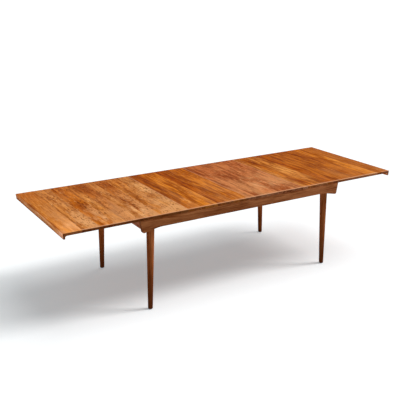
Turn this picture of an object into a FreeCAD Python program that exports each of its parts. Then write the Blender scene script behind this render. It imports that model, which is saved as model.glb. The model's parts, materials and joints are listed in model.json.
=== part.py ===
import FreeCAD, Part
import os
import Sketcher

# An extension dining table: a top split across the middle, two loose leaves in the gap, a low frame
# with shaped long aprons, and four splayed round legs. The halves of the top ride on wooden runners.
# The origin is on the floor under the middle of the table. +X runs along the table and +Y to its back.
# Lengths are in millimetres and angles in degrees.

SIZES = {
    # the whole table
    "table_height": 725,
    "top_width": 1000,
    "half_length": 931,
    "leaf_length": 515,
    "seam_gap": 0.4,
    # boards of the top
    "board_thickness": 21,
    "edge_bevel_width": 8,
    "edge_bevel_rise": 2,
    "edge_round": 1.5,
    "seam_ease": 0.6,
    # downturned end staves
    "lip_stave_width": 135,
    "lip_thickness": 13,
    "lip_lean": 5,
    "lip_cove": 9,
    "lip_straight": 11,
    "lip_round": 4,
    "lip_foot_round": 2,
    "tongue_depth": 8,
    "tongue_thickness": 6,
    "tongue_stop": 25,
    "tongue_clearance": 0.2,
    # long aprons
    "apron_setback": 11,
    "apron_thickness": 26,
    "apron_depth": 70,
    "apron_length": 1780,
    "apron_foot_length": 175,
    "sweep_radius": 288,
    "sweep_angle": 12,
    "apron_end_lean": 10,
    "apron_corner_round": 15,
    "apron_edge_round": 2,
    # end aprons
    "end_apron_inset": 14,
    "end_apron_thickness": 22,
    "end_apron_depth": 70,
    "end_apron_edge_round": 2,
    # runners, guide rails and cross bearers
    "runner_width": 30,
    "runner_height": 34,
    "runner_end_inset": 20,
    "runner_reach": 325,
    "guide_spacing": 510,
    "guide_width": 24,
    "guide_top_gap": 0.5,
    "guide_tongue_height": 8,
    "guide_tongue_depth": 7,
    "slide_clearance": 0.5,
    "notch_clearance": 1,
    "bearer_width": 30,
    "bearer_depth": 25,
    "stop_travel": 60,
    "stop_gap": 0.4,
    "stop_margin": 60,
    "stop_peg_diameter": 12,
    "stop_peg_depth": 17,
    "stop_peg_drop": 18,
    # legs and the blocks that hold them
    "leg_inset": 104,
    "leg_top_diameter": 59,
    "leg_foot_diameter": 35,
    "leg_splay": 1.5,
    "leg_clearance": 0.5,
    "leg_trim": 3,
    "foot_round": 3,
    "block_length": 80,
    "block_width": 62,
    "block_height": 38,
    "block_chamfer": 4,
    "glide_diameter": 20,
    "glide_height": 4,
    "glide_ease": 1.5,
    "glide_pin_diameter": 3,
    "glide_pin_length": 14,
    # leg bolts, washers and nuts
    "bolt_diameter": 10,
    "bolt_depth": 45,
    "bolt_show": 3,
    "bolt_headroom": 6,
    "bolt_clearance": 0.2,
    "washer_diameter": 24,
    "washer_thickness": 2,
    "nut_width": 17,
    "nut_height": 8,
    # wood screws
    "screw_diameter": 4.5,
    "screw_head_diameter": 9,
    "screw_head_height": 3,
    "screw_clearance": 0.1,
    "screw_recess_clearance": 0.5,
    "screw_board_bite": 11,
    "runner_screw_count": 5,
    "runner_screw_grip": 20,
    "runner_screw_margin": 40,
    "block_screw_margin": 12,
    "block_screw_grip": 30,
    "block_screw_bite": 15,
    "guide_screw_bite": 20,
    # dowels
    "dowel_diameter": 10,
    "dowel_margin": 14,
    "dowel_apron_depth": 15,
    "dowel_rail_depth": 25,
    "dowel_clearance": 0.05,
    "bearer_dowel_diameter": 8,
    "bearer_dowel_spread": 15,
    "guide_dowel_depth": 12,
    # loose leaves
    "leaf_batten_width": 22,
    "leaf_batten_height": 20,
    "leaf_batten_inset": 20,
    "leaf_batten_gap": 1,
    "leaf_batten_chamfer": 3,
    "middle_batten_width": 40,
    "leaf_screw_count": 3,
    "leaf_screw_margin": 40,
    "leaf_peg_diameter": 10,
    "leaf_peg_depth": 10,
    "leaf_peg_drop": 12,
    "leaf_peg_tip": 2,
    "leaf_peg_play": 0.4,
    "leaf_peg_room": 2.5,
}

# Heights, from the top down
TOP = "Sizes.table_height"
UNDERSIDE = "(Sizes.table_height - Sizes.board_thickness)"
EDGE_FOOT = f"({UNDERSIDE} + Sizes.edge_bevel_rise)"
LIP_FOOT = f"({UNDERSIDE} - Sizes.lip_cove - Sizes.lip_straight)"
TONGUE_LEVEL = "(Sizes.table_height - Sizes.board_thickness / 2)"
APRON_BOTTOM = f"({UNDERSIDE} - Sizes.apron_depth)"
END_APRON_BOTTOM = f"({UNDERSIDE} - Sizes.end_apron_depth)"
RUNNER_BOTTOM = f"({UNDERSIDE} - Sizes.runner_height)"
GUIDE_TOP = f"({UNDERSIDE} - Sizes.guide_top_gap)"
GUIDE_TONGUE_LEVEL = f"({UNDERSIDE} - Sizes.runner_height / 2)"
RUNNER_SCREW_SEAT = f"({UNDERSIDE} - Sizes.runner_screw_grip)"
BEARER_BOTTOM = f"({RUNNER_BOTTOM} - Sizes.bearer_depth)"
BOLT_TOP = f"({UNDERSIDE} - Sizes.bolt_headroom)"
NUT_TOP = f"({BOLT_TOP} - Sizes.bolt_show)"
WASHER_TOP = f"({NUT_TOP} - Sizes.nut_height)"
BLOCK_TOP = f"({WASHER_TOP} - Sizes.washer_thickness)"
BLOCK_BOTTOM = f"({BLOCK_TOP} - Sizes.block_height)"
BLOCK_MIDDLE = f"({BLOCK_BOTTOM} + Sizes.block_height / 2)"
LEAF_BATTEN_BOTTOM = f"({UNDERSIDE} - Sizes.leaf_batten_height)"

# Distances from the middle along the table
TOP_END = "(Sizes.leaf_length + Sizes.half_length)"
STAVE_JOINT = f"({TOP_END} - Sizes.lip_stave_width)"
HALF_SEAM = "(Sizes.leaf_length + Sizes.seam_gap / 2)"
LEAF_MIDDLE = "(Sizes.leaf_length / 2)"
RUNNER_INNER_END = "(Sizes.leaf_length - Sizes.runner_reach)"
RUNNER_OUTER_END = f"({STAVE_JOINT} - Sizes.runner_end_inset)"
RUNNER_LENGTH = f"({RUNNER_OUTER_END} - {RUNNER_INNER_END})"
APRON_END = "(Sizes.apron_length / 2)"
END_APRON_OUTER = f"({APRON_END} - Sizes.end_apron_inset)"
END_APRON_MIDDLE = f"({END_APRON_OUTER} - Sizes.end_apron_thickness / 2)"
END_APRON_INNER = f"({END_APRON_OUTER} - Sizes.end_apron_thickness)"
STOP_PEG_PLACE = f"({RUNNER_INNER_END} + Sizes.stop_margin)"
STOP_PEG_FACE = f"({STOP_PEG_PLACE} + Sizes.stop_peg_diameter / 2)"
BEARER_INNER = f"({STOP_PEG_FACE} + Sizes.stop_gap + Sizes.stop_travel)"
BEARER_MIDDLE = f"({BEARER_INNER} + Sizes.bearer_width / 2)"
LEG_PLACE = f"({APRON_END} - Sizes.leg_inset)"
FOOT_PLACE = f"({LEG_PLACE} + ({BLOCK_BOTTOM} - Sizes.glide_height) * tan(Sizes.leg_splay))"

# Distances from the middle across the table
TOP_EDGE = "(Sizes.top_width / 2)"
APRON_OUTER = f"({TOP_EDGE} - Sizes.apron_setback)"
APRON_INNER = f"({APRON_OUTER} - Sizes.apron_thickness)"
GUIDE_MIDDLE = "(Sizes.guide_spacing / 2)"
LEG_AXIS = f"({APRON_INNER} - Sizes.leg_top_diameter / 2 - Sizes.leg_clearance)"
LEAF_BATTEN_MIDDLE = f"({APRON_INNER} - Sizes.leaf_batten_gap - Sizes.leaf_batten_width / 2)"

# Hole sizes that follow from what goes into them
SCREW_HOLE = "(Sizes.screw_diameter + 2 * Sizes.screw_clearance)"
SCREW_RECESS = "(Sizes.screw_head_diameter + 2 * Sizes.screw_recess_clearance)"
DOWEL_HOLE = "(Sizes.dowel_diameter + 2 * Sizes.dowel_clearance)"
SMALL_DOWEL_HOLE = "(Sizes.bearer_dowel_diameter + 2 * Sizes.dowel_clearance)"
BOLT_HOLE = "(Sizes.bolt_diameter + 2 * Sizes.bolt_clearance)"

ENDS = (("left", -1), ("right", 1))
SIDES = (("front", -1), ("back", 1))
OUTER = 1
INNER = -1

# The direction of each origin plane's normal along its own axis of the table
PLANE_NORMAL = {"XY_Plane": 1, "XZ_Plane": -1, "YZ_Plane": 1}
UPRIGHT = FreeCAD.Vector(0, 0, 1)
ALONG = FreeCAD.Vector(1, 0, 0)
ACROSS = FreeCAD.Vector(0, 1, 0)
NEAR = 0.01

doc = FreeCAD.newDocument("ExtensionTable")
sheet = doc.addObject("Spreadsheet::Sheet", "Sizes")
for row, (alias, number) in enumerate(SIZES.items(), start=1):
    sheet.set(f"A{row}", alias)
    sheet.set(f"B{row}", str(number))
    sheet.setAlias(f"B{row}", alias)
doc.recompute()

pieces = []


def value(expression):
    """Return the number that an expression of the sheet comes to."""
    return float(sheet.evalExpression(expression))


def signed(sign, expression):
    """Return the expression on the side of the middle that the sign names."""
    return f"{sign} * {expression}"


def spaced(first, last, count, index):
    """Return the place of one of count points, evenly spaced from first to last."""
    return f"({first} + ({last} - {first}) * {index} / {count - 1})"


def new_body(label):
    """Start a piece as a body with the given label."""
    body = doc.addObject("PartDesign::Body", label)
    pieces.append(body)
    return body


def new_sketch(body, role, place, name):
    """Start a sketch parallel to one of the body's origin planes, at a place along that plane's axis."""
    sketch = body.newObject("Sketcher::SketchObject", name)
    plane = next(item for item in body.Origin.OriginFeatures if item.Role == role)
    sketch.AttachmentSupport = [(plane, "")]
    sketch.MapMode = "FlatFace"
    sketch.setExpression("AttachmentOffset.Base.z", signed(PLANE_NORMAL[role], f"({place})"))
    return sketch


def fix_point(sketch, geometry, end, place):
    """Hold one point of a sketch at a pair of expressions from the sketch's origin."""
    for kind, expression in zip(("DistanceX", "DistanceY"), place):
        number = sketch.addConstraint(
            Sketcher.Constraint(kind, -1, 1, geometry, end, value(expression))
        )
        sketch.setExpression(f"Constraints[{number}]", expression)


def arc_between(start, finish, radius, turn):
    """Return the shorter arc from start to finish, turning left for +1 and right for -1."""
    chord = finish - start
    normal = FreeCAD.Vector(-chord.y, chord.x, 0).normalize()
    rise = radius - (radius**2 - (chord.Length / 2) ** 2) ** 0.5
    return Part.Arc(start, (start + finish) * 0.5 - normal * rise * turn, finish)


def draw_outline(sketch, corners, arcs=None):
    """Draw a closed outline through corners, with an arc instead of a line after each corner in arcs."""
    arcs = arcs or {}
    points = [FreeCAD.Vector(value(across), value(up), 0) for across, up in corners]
    ends = []
    for index, start in enumerate(points):
        finish = points[(index + 1) % len(points)]
        if index in arcs:
            radius, turn = arcs[index]
            number = sketch.addGeometry(arc_between(start, finish, value(radius), turn))
            begins = 1 if sketch.getPoint(number, 1).isEqual(start, NEAR) else 2
        else:
            number = sketch.addGeometry(Part.LineSegment(start, finish))
            begins = 1
        ends.append((number, begins, 3 - begins))
    for index, (number, begins, finishes) in enumerate(ends):
        following = ends[(index + 1) % len(ends)]
        sketch.addConstraint(
            Sketcher.Constraint("Coincident", number, finishes, following[0], following[1])
        )
        fix_point(sketch, number, begins, corners[index])
        if index in arcs:
            radius = arcs[index][0]
            bound = sketch.addConstraint(Sketcher.Constraint("Radius", number, value(radius)))
            sketch.setExpression(f"Constraints[{bound}]", radius)


def draw_rectangle(sketch, low, high):
    """Draw a rectangle between two opposite corners."""
    draw_outline(sketch, [low, (high[0], low[1]), high, (low[0], high[1])])


def draw_circles(sketch, centres, diameter):
    """Draw circles of one diameter about the centres."""
    for centre in centres:
        middle = FreeCAD.Vector(value(centre[0]), value(centre[1]), 0)
        number = sketch.addGeometry(Part.Circle(middle, UPRIGHT, value(diameter) / 2))
        fix_point(sketch, number, 3, centre)
        bound = sketch.addConstraint(Sketcher.Constraint("Diameter", number, value(diameter)))
        sketch.setExpression(f"Constraints[{bound}]", diameter)


def pad(body, sketch, length, name):
    """Thicken a sketch by a length, half to each side of it."""
    feature = body.newObject("PartDesign::Pad", name)
    feature.Profile = sketch
    feature.Midplane = True
    feature.setExpression("Length", length)
    doc.recompute()


def pocket(body, sketch, depth, towards, name):
    """Cut a sketch out of the body to a depth, towards +1 or -1 along the axis of the sketch's plane."""
    doc.recompute()
    before = body.Shape.Volume
    role = sketch.AttachmentSupport[0][0].Role
    feature = body.newObject("PartDesign::Pocket", name)
    feature.Profile = sketch
    feature.Reversed = towards == PLANE_NORMAL[role]
    feature.setExpression("Length", depth)
    doc.recompute()
    if body.Shape.Volume > before - NEAR:
        raise RuntimeError(f"{name} cuts nothing from {body.Label}")


def bore(body, role, place, centres, diameter, depth, towards, name):
    """Bore round holes into the body from a plane at a place along its axis."""
    sketch = new_sketch(body, role, place, name + "_centres")
    draw_circles(sketch, centres, diameter)
    pocket(body, sketch, depth, towards, name)


def lies_at(edge, **places):
    """Tell whether the whole edge lies at the given x, y and z."""
    box = edge.BoundBox
    for axis, place in places.items():
        low = getattr(box, axis.upper() + "Min")
        high = getattr(box, axis.upper() + "Max")
        if abs(low - place) > NEAR or abs(high - place) > NEAR:
            return False
    return True


def ease_edges(body, kind, size, chosen, name):
    """Round ("Fillet") or chamfer ("Chamfer") the edges of the body that a test chooses."""
    base = body.Tip
    names = [f"Edge{n}" for n, edge in enumerate(base.Shape.Edges, start=1) if chosen(edge)]
    if not names:
        raise RuntimeError(f"{name} finds no edge on {body.Label}")
    feature = body.newObject("PartDesign::" + kind, name)
    feature.Base = (base, names)
    feature.setExpression("Radius" if kind == "Fillet" else "Size", size)
    doc.recompute()


def cylinder(name, diameter, length, base, direction=UPRIGHT):
    """Make a cylinder that starts at base, three expressions, and runs along a direction."""
    solid = doc.addObject("Part::Cylinder", name)
    solid.setExpression("Radius", f"({diameter}) / 2")
    solid.setExpression("Height", length)
    solid.Placement = FreeCAD.Placement(FreeCAD.Vector(), FreeCAD.Rotation(UPRIGHT, direction))
    for axis, expression in zip("xyz", base):
        solid.setExpression(f"Placement.Base.{axis}", expression)
    return solid


def screw(name, seat, length, direction=UPRIGHT):
    """Make a round-headed wood screw whose head sits at seat and whose shank runs along a direction."""
    shank = cylinder(name + "_shank", "Sizes.screw_diameter", length, seat, direction)
    head = cylinder(
        name + "_head", "Sizes.screw_head_diameter", "Sizes.screw_head_height", seat, direction * -1
    )
    whole = doc.addObject("Part::Fuse", name)
    whole.Base = shank
    whole.Tool = head
    return whole


def cut(name, base, tools):
    """Cut tools out of a base."""
    removed = doc.addObject("Part::MultiFuse", name + "_removed")
    removed.Shapes = tools
    result = doc.addObject("Part::Cut", name)
    result.Base = base
    result.Tool = removed
    return result


def group(label, members):
    """Keep like pieces together as one named group of separate solids."""
    compound = doc.addObject("Part::Compound", label)
    compound.Links = members
    pieces.append(compound)


def runner_side(end, side):
    """Tell on which side of its guide rail a runner lies, so that the two halves of the top are alike."""
    return OUTER if end == side else INNER


def runner_place(side, offset, beyond):
    """Return the distance across the table of a point beyond the guide rail's face, on the runner's side."""
    return f"{side} * ({GUIDE_MIDDLE} + {offset} * (Sizes.guide_width / 2 + {beyond}))"


def runner_middle(end, side):
    """Return the distance across the table of a runner's middle."""
    return runner_place(side, runner_side(end, side), "Sizes.slide_clearance + Sizes.runner_width / 2")


def runner_screw_places(end):
    """Return the places along the table of the screws that hold one runner to its half of the top."""
    count = int(value("Sizes.runner_screw_count"))
    first = f"({HALF_SEAM} + Sizes.runner_screw_margin)"
    last = f"({RUNNER_OUTER_END} - Sizes.runner_screw_margin)"
    return [signed(end, spaced(first, last, count, index)) for index in range(count)]


def leaf_screw_places(end):
    """Return the places along the table of the screws that hold one batten to its leaf."""
    count = int(value("Sizes.leaf_screw_count"))
    first = "(Sizes.leaf_batten_inset + Sizes.leaf_screw_margin)"
    last = "(Sizes.leaf_length - Sizes.leaf_batten_inset - Sizes.leaf_screw_margin)"
    return [signed(end, spaced(first, last, count, index)) for index in range(count)]


def make_board(label, end, middle, length, seams):
    """Make a board of the top with bevelled long edges, eased at its seams."""
    body = new_body(label)
    sketch = new_sketch(body, "YZ_Plane", signed(end, middle), "section")
    bevel_start = f"({TOP_EDGE} - Sizes.edge_bevel_width)"
    draw_outline(
        sketch,
        [
            (signed(-1, TOP_EDGE), TOP),
            (signed(-1, TOP_EDGE), EDGE_FOOT),
            (signed(-1, bevel_start), UNDERSIDE),
            (bevel_start, UNDERSIDE),
            (TOP_EDGE, EDGE_FOOT),
            (TOP_EDGE, TOP),
        ],
    )
    pad(body, sketch, length, "board")
    top = value(TOP)
    edge = value(TOP_EDGE)
    ease_edges(
        body,
        "Fillet",
        "Sizes.edge_round",
        lambda line: lies_at(line, z=top, y=edge) or lies_at(line, z=top, y=-edge),
        "long_edges",
    )
    places = [end * value(seam) for seam in seams]
    ease_edges(
        body,
        "Chamfer",
        "Sizes.seam_ease",
        lambda line: any(lies_at(line, z=top, x=place) for place in places),
        "seam_edges",
    )
    return body


def make_half_board(name, end):
    """Make the main board of one half of the top, with a tongue for its end stave."""
    length = f"({STAVE_JOINT} - {HALF_SEAM})"
    middle = f"(({STAVE_JOINT} + {HALF_SEAM}) / 2)"
    body = make_board(f"{name}_top_board", end, middle, length, [HALF_SEAM])
    tongue = new_sketch(
        body, "YZ_Plane", signed(end, f"({STAVE_JOINT} + Sizes.tongue_depth / 2)"), "tongue_section"
    )
    reach = f"({TOP_EDGE} - Sizes.tongue_stop)"
    draw_rectangle(
        tongue,
        (signed(-1, reach), f"{TONGUE_LEVEL} - Sizes.tongue_thickness / 2"),
        (reach, f"{TONGUE_LEVEL} + Sizes.tongue_thickness / 2"),
    )
    pad(body, tongue, "Sizes.tongue_depth", "tongue")
    pilots = [
        (place, runner_middle(end, side))
        for _, side in SIDES
        for place in runner_screw_places(end)
    ]
    bore(body, "XY_Plane", UNDERSIDE, pilots, SCREW_HOLE, "Sizes.screw_board_bite", 1, "screw_pilots")


def make_end_lip(name, end):
    """Make the downturned stave along one end of the top."""
    body = new_body(f"{name}_end_lip")
    sketch = new_sketch(body, "XZ_Plane", "0", "section")
    lip_outer = f"({TOP_END} - Sizes.lip_lean)"
    lip_inner = f"({lip_outer} - Sizes.lip_thickness)"
    cove_end = f"({lip_inner} - Sizes.lip_cove)"
    corners = [
        (signed(end, TOP_END), TOP),
        (signed(end, STAVE_JOINT), TOP),
        (signed(end, STAVE_JOINT), UNDERSIDE),
        (signed(end, cove_end), UNDERSIDE),
        (signed(end, lip_inner), f"{UNDERSIDE} - Sizes.lip_cove"),
        (signed(end, lip_inner), LIP_FOOT),
        (signed(end, lip_outer), LIP_FOOT),
    ]
    draw_outline(sketch, corners, {3: ("Sizes.lip_cove", -end)})
    pad(body, sketch, "Sizes.top_width", "stave")
    bevel = new_sketch(body, "YZ_Plane", signed(end, STAVE_JOINT), "bevel_section")
    bevel_start = f"({TOP_EDGE} - Sizes.edge_bevel_width)"
    for side in (-1, 1):
        draw_outline(
            bevel,
            [
                (signed(side, bevel_start), UNDERSIDE),
                (signed(side, TOP_EDGE), UNDERSIDE),
                (signed(side, TOP_EDGE), EDGE_FOOT),
            ],
        )
    pocket(body, bevel, f"{cove_end} - {STAVE_JOINT}", end, "edge_bevels")
    groove = new_sketch(body, "YZ_Plane", signed(end, STAVE_JOINT), "groove_section")
    reach = f"({TOP_EDGE} - Sizes.tongue_stop + Sizes.tongue_clearance)"
    rise = "(Sizes.tongue_thickness / 2 + Sizes.tongue_clearance)"
    draw_rectangle(
        groove, (signed(-1, reach), f"{TONGUE_LEVEL} - {rise}"), (reach, f"{TONGUE_LEVEL} + {rise}")
    )
    pocket(body, groove, "Sizes.tongue_depth + Sizes.tongue_clearance", end, "groove")
    top = value(TOP)
    foot = value(LIP_FOOT)
    edge = value(TOP_EDGE)
    ease_edges(
        body,
        "Fillet",
        "Sizes.lip_round",
        lambda line: lies_at(line, z=top, x=end * value(TOP_END)),
        "upper_edge",
    )
    ease_edges(
        body,
        "Fillet",
        "Sizes.lip_foot_round",
        lambda line: lies_at(line, z=foot) and line.BoundBox.YLength > edge,
        "foot_edges",
    )
    ease_edges(
        body,
        "Fillet",
        "Sizes.edge_round",
        lambda line: lies_at(line, z=top, y=edge) or lies_at(line, z=top, y=-edge),
        "long_edges",
    )


def make_runner(name, end, side_name, side):
    """Make one runner of a half of the top, grooved for its guide rail and bored for screws and a stop."""
    body = new_body(f"{name}_top_{side_name}_runner")
    offset = runner_side(end, side)
    middle = f"(({RUNNER_OUTER_END} + {RUNNER_INNER_END}) / 2)"
    sketch = new_sketch(body, "YZ_Plane", signed(end, middle), "section")
    near = runner_place(side, offset, "Sizes.slide_clearance")
    far = runner_place(side, offset, "Sizes.slide_clearance + Sizes.runner_width")
    floor = runner_place(side, offset, "Sizes.guide_tongue_depth + Sizes.slide_clearance")
    rise = "(Sizes.guide_tongue_height / 2 + Sizes.slide_clearance)"
    draw_outline(
        sketch,
        [
            (far, UNDERSIDE),
            (far, RUNNER_BOTTOM),
            (near, RUNNER_BOTTOM),
            (near, f"{GUIDE_TONGUE_LEVEL} - {rise}"),
            (floor, f"{GUIDE_TONGUE_LEVEL} - {rise}"),
            (floor, f"{GUIDE_TONGUE_LEVEL} + {rise}"),
            (near, f"{GUIDE_TONGUE_LEVEL} + {rise}"),
            (near, UNDERSIDE),
        ],
    )
    pad(body, sketch, RUNNER_LENGTH, "bar")
    centre = runner_middle(end, side)
    screws = [(place, centre) for place in runner_screw_places(end)]
    recess = "Sizes.runner_height - Sizes.runner_screw_grip"
    bore(body, "XY_Plane", RUNNER_BOTTOM, screws, SCREW_RECESS, recess, 1, "screw_recesses")
    bore(body, "XY_Plane", RUNNER_BOTTOM, screws, SCREW_HOLE, "Sizes.runner_height", 1, "screw_holes")
    stop = [(signed(end, STOP_PEG_PLACE), centre)]
    peg_hole = "Sizes.stop_peg_diameter + 2 * Sizes.dowel_clearance"
    bore(body, "XY_Plane", RUNNER_BOTTOM, stop, peg_hole, "Sizes.stop_peg_depth", 1, "stop_hole")


def make_top_half(name, end):
    """Make one half of the top with its end stave, runners, screws and stop pegs."""
    make_half_board(name, end)
    make_end_lip(name, end)
    screws = []
    stops = []
    for side_name, side in SIDES:
        make_runner(name, end, side_name, side)
        centre = runner_middle(end, side)
        for index, place in enumerate(runner_screw_places(end)):
            seat = (place, centre, RUNNER_SCREW_SEAT)
            length = "Sizes.runner_screw_grip + Sizes.screw_board_bite"
            screws.append(screw(f"{name}_{side_name}_runner_screw_{index}", seat, length))
        base = (signed(end, STOP_PEG_PLACE), centre, f"{RUNNER_BOTTOM} - Sizes.stop_peg_drop")
        length = "Sizes.stop_peg_drop + Sizes.stop_peg_depth"
        stops.append(
            cylinder(f"{name}_{side_name}_stop_peg", "Sizes.stop_peg_diameter", length, base)
        )
    group(f"{name}_runner_screws", screws)
    group(f"{name}_stop_pegs", stops)


def make_leaf_batten(label, end, middle, width):
    """Make a batten under a loose leaf, along the table, with chamfered lower edges and screw holes."""
    body = new_body(label)
    sketch = new_sketch(body, "YZ_Plane", signed(end, LEAF_MIDDLE), "section")
    low = f"({middle} - {width} / 2)"
    high = f"({middle} + {width} / 2)"
    draw_outline(
        sketch,
        [
            (low, UNDERSIDE),
            (low, f"{LEAF_BATTEN_BOTTOM} + Sizes.leaf_batten_chamfer"),
            (f"{low} + Sizes.leaf_batten_chamfer", LEAF_BATTEN_BOTTOM),
            (f"{high} - Sizes.leaf_batten_chamfer", LEAF_BATTEN_BOTTOM),
            (high, f"{LEAF_BATTEN_BOTTOM} + Sizes.leaf_batten_chamfer"),
            (high, UNDERSIDE),
        ],
    )
    pad(body, sketch, "Sizes.leaf_length - 2 * Sizes.leaf_batten_inset", "bar")
    screws = [(place, middle) for place in leaf_screw_places(end)]
    height = "Sizes.leaf_batten_height"
    bore(body, "XY_Plane", LEAF_BATTEN_BOTTOM, screws, SCREW_HOLE, height, 1, "screw_holes")


def make_leaf(name, end):
    """Make one loose leaf with its battens, screws and the pegs that drop into the guide rails."""
    length = "(Sizes.leaf_length - Sizes.seam_gap)"
    seams = ["(Sizes.seam_gap / 2)", "(Sizes.leaf_length - Sizes.seam_gap / 2)"]
    board = make_board(f"{name}_leaf_board", end, LEAF_MIDDLE, length, seams)
    battens = [
        ("front", signed(-1, LEAF_BATTEN_MIDDLE), "Sizes.leaf_batten_width"),
        ("middle", "0", "Sizes.middle_batten_width"),
        ("back", LEAF_BATTEN_MIDDLE, "Sizes.leaf_batten_width"),
    ]
    screws = []
    pilots = []
    for place_name, middle, width in battens:
        make_leaf_batten(f"{name}_leaf_{place_name}_batten", end, middle, width)
        for index, place in enumerate(leaf_screw_places(end)):
            pilots.append((place, middle))
            seat = (place, middle, LEAF_BATTEN_BOTTOM)
            reach = "Sizes.leaf_batten_height + Sizes.screw_board_bite"
            screws.append(screw(f"{name}_{place_name}_batten_screw_{index}", seat, reach))
    group(f"{name}_leaf_screws", screws)
    bite = "Sizes.screw_board_bite"
    bore(board, "XY_Plane", UNDERSIDE, pilots, SCREW_HOLE, bite, 1, "screw_pilots")
    sockets = [(signed(end, LEAF_MIDDLE), signed(side, GUIDE_MIDDLE)) for _, side in SIDES]
    socket = "Sizes.leaf_peg_diameter + 2 * Sizes.dowel_clearance"
    bore(board, "XY_Plane", UNDERSIDE, sockets, socket, "Sizes.leaf_peg_depth", 1, "peg_sockets")
    pegs = [make_leaf_peg(f"{name}_leaf_{side_name}_peg", end, side) for side_name, side in SIDES]
    group(f"{name}_leaf_pegs", pegs)


def make_leaf_peg(name, end, side):
    """Make a peg with a tapered tip, let into the underside of a leaf."""
    across = signed(side, GUIDE_MIDDLE)
    along = signed(end, LEAF_MIDDLE)
    tip_end = f"({UNDERSIDE} - Sizes.leaf_peg_drop)"
    shank = cylinder(
        name + "_shank",
        "Sizes.leaf_peg_diameter",
        "Sizes.leaf_peg_drop + Sizes.leaf_peg_depth - Sizes.leaf_peg_tip",
        (along, across, f"{tip_end} + Sizes.leaf_peg_tip"),
    )
    tip = doc.addObject("Part::Cone", name + "_tip")
    tip.setExpression("Radius1", "Sizes.leaf_peg_diameter / 2 - Sizes.leaf_peg_tip")
    tip.setExpression("Radius2", "Sizes.leaf_peg_diameter / 2")
    tip.setExpression("Height", "Sizes.leaf_peg_tip")
    for axis, expression in zip("xyz", (along, across, tip_end)):
        tip.setExpression(f"Placement.Base.{axis}", expression)
    whole = doc.addObject("Part::Fuse", name)
    whole.Base = shank
    whole.Tool = tip
    return whole


def end_dowel_places(end):
    """Return the places, along and up, of the dowels between a long apron and one end apron."""
    low = f"({END_APRON_BOTTOM} + Sizes.dowel_margin)"
    high = f"({UNDERSIDE} - Sizes.dowel_margin)"
    return [(signed(end, END_APRON_MIDDLE), low), (signed(end, END_APRON_MIDDLE), high)]


def bearer_dowel_places(end):
    """Return the places, along and up, of the dowels between a long apron and one cross bearer."""
    middle = f"({RUNNER_BOTTOM} - Sizes.bearer_depth / 2)"
    near = f"({BEARER_MIDDLE} - Sizes.bearer_dowel_spread / 2)"
    far = f"({BEARER_MIDDLE} + Sizes.bearer_dowel_spread / 2)"
    return [(signed(end, near), middle), (signed(end, far), middle)]


def block_screw_places(end):
    """Return the places, along and up, of the screws between a long apron and one leg block."""
    reach = "(Sizes.block_length / 2 - Sizes.block_screw_margin)"
    near = f"({LEG_PLACE} - {reach})"
    far = f"({LEG_PLACE} + {reach})"
    return [(signed(end, near), BLOCK_MIDDLE), (signed(end, far), BLOCK_MIDDLE)]


def make_long_apron(side_name, side):
    """Make a long apron: straight along the middle, swept down towards leaning, rounded ends."""
    body = new_body(f"{side_name}_apron")
    middle = f"({APRON_INNER} + Sizes.apron_thickness / 2)"
    sketch = new_sketch(body, "XZ_Plane", signed(side, middle), "outline")
    flat = f"({APRON_END} - Sizes.apron_foot_length)"
    sweep_end = f"({flat} + Sizes.sweep_radius * sin(Sizes.sweep_angle))"
    sweep_foot = f"({APRON_BOTTOM} - Sizes.sweep_radius * (1 - cos(Sizes.sweep_angle)))"
    slope = "tan(Sizes.sweep_angle)"
    lean = "tan(Sizes.apron_end_lean)"
    fall = f"({UNDERSIDE} - {sweep_foot} - {sweep_end} * {slope})"
    corner = f"(({APRON_END} - {fall} * {lean}) / (1 + {slope} * {lean}))"
    corner_foot = f"({sweep_foot} - ({corner} - {sweep_end}) * {slope})"
    corners = [
        (signed(-1, APRON_END), UNDERSIDE),
        (signed(-1, corner), corner_foot),
        (signed(-1, sweep_end), sweep_foot),
        (signed(-1, flat), APRON_BOTTOM),
        (flat, APRON_BOTTOM),
        (sweep_end, sweep_foot),
        (corner, corner_foot),
        (APRON_END, UNDERSIDE),
    ]
    draw_outline(sketch, corners, {2: ("Sizes.sweep_radius", -1), 4: ("Sizes.sweep_radius", -1)})
    pad(body, sketch, "Sizes.apron_thickness", "board")
    foot = value(corner_foot)
    ease_edges(
        body, "Fillet", "Sizes.apron_corner_round", lambda line: lies_at(line, z=foot), "foot_corners"
    )
    top = value(UNDERSIDE)
    faces = [side * value(APRON_OUTER), side * value(APRON_INNER)]
    ease_edges(
        body,
        "Fillet",
        "Sizes.apron_edge_round",
        lambda line: not lies_at(line, z=top) and any(lies_at(line, y=face) for face in faces),
        "lower_edges",
    )
    inner = signed(side, APRON_INNER)
    ends = [end for _, end in ENDS]
    dowels = [place for end in ends for place in end_dowel_places(end)]
    depth = "Sizes.dowel_apron_depth"
    bore(body, "XZ_Plane", inner, dowels, DOWEL_HOLE, depth, side, "end_dowel_holes")
    dowels = [place for end in ends for place in bearer_dowel_places(end)]
    bore(body, "XZ_Plane", inner, dowels, SMALL_DOWEL_HOLE, depth, side, "bearer_dowel_holes")
    screws = [place for end in ends for place in block_screw_places(end)]
    bore(body, "XZ_Plane", inner, screws, SCREW_HOLE, "Sizes.block_screw_bite", side, "screw_pilots")


def notch_edges(end, side):
    """Return the two sides, from -Y to +Y, of the notch that lets a runner through an end apron."""
    offset = runner_side(end, side)
    near = runner_place(side, offset, "Sizes.slide_clearance - Sizes.notch_clearance")
    beyond = "Sizes.slide_clearance + Sizes.runner_width + Sizes.notch_clearance"
    return sorted((near, runner_place(side, offset, beyond)), key=value)


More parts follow.
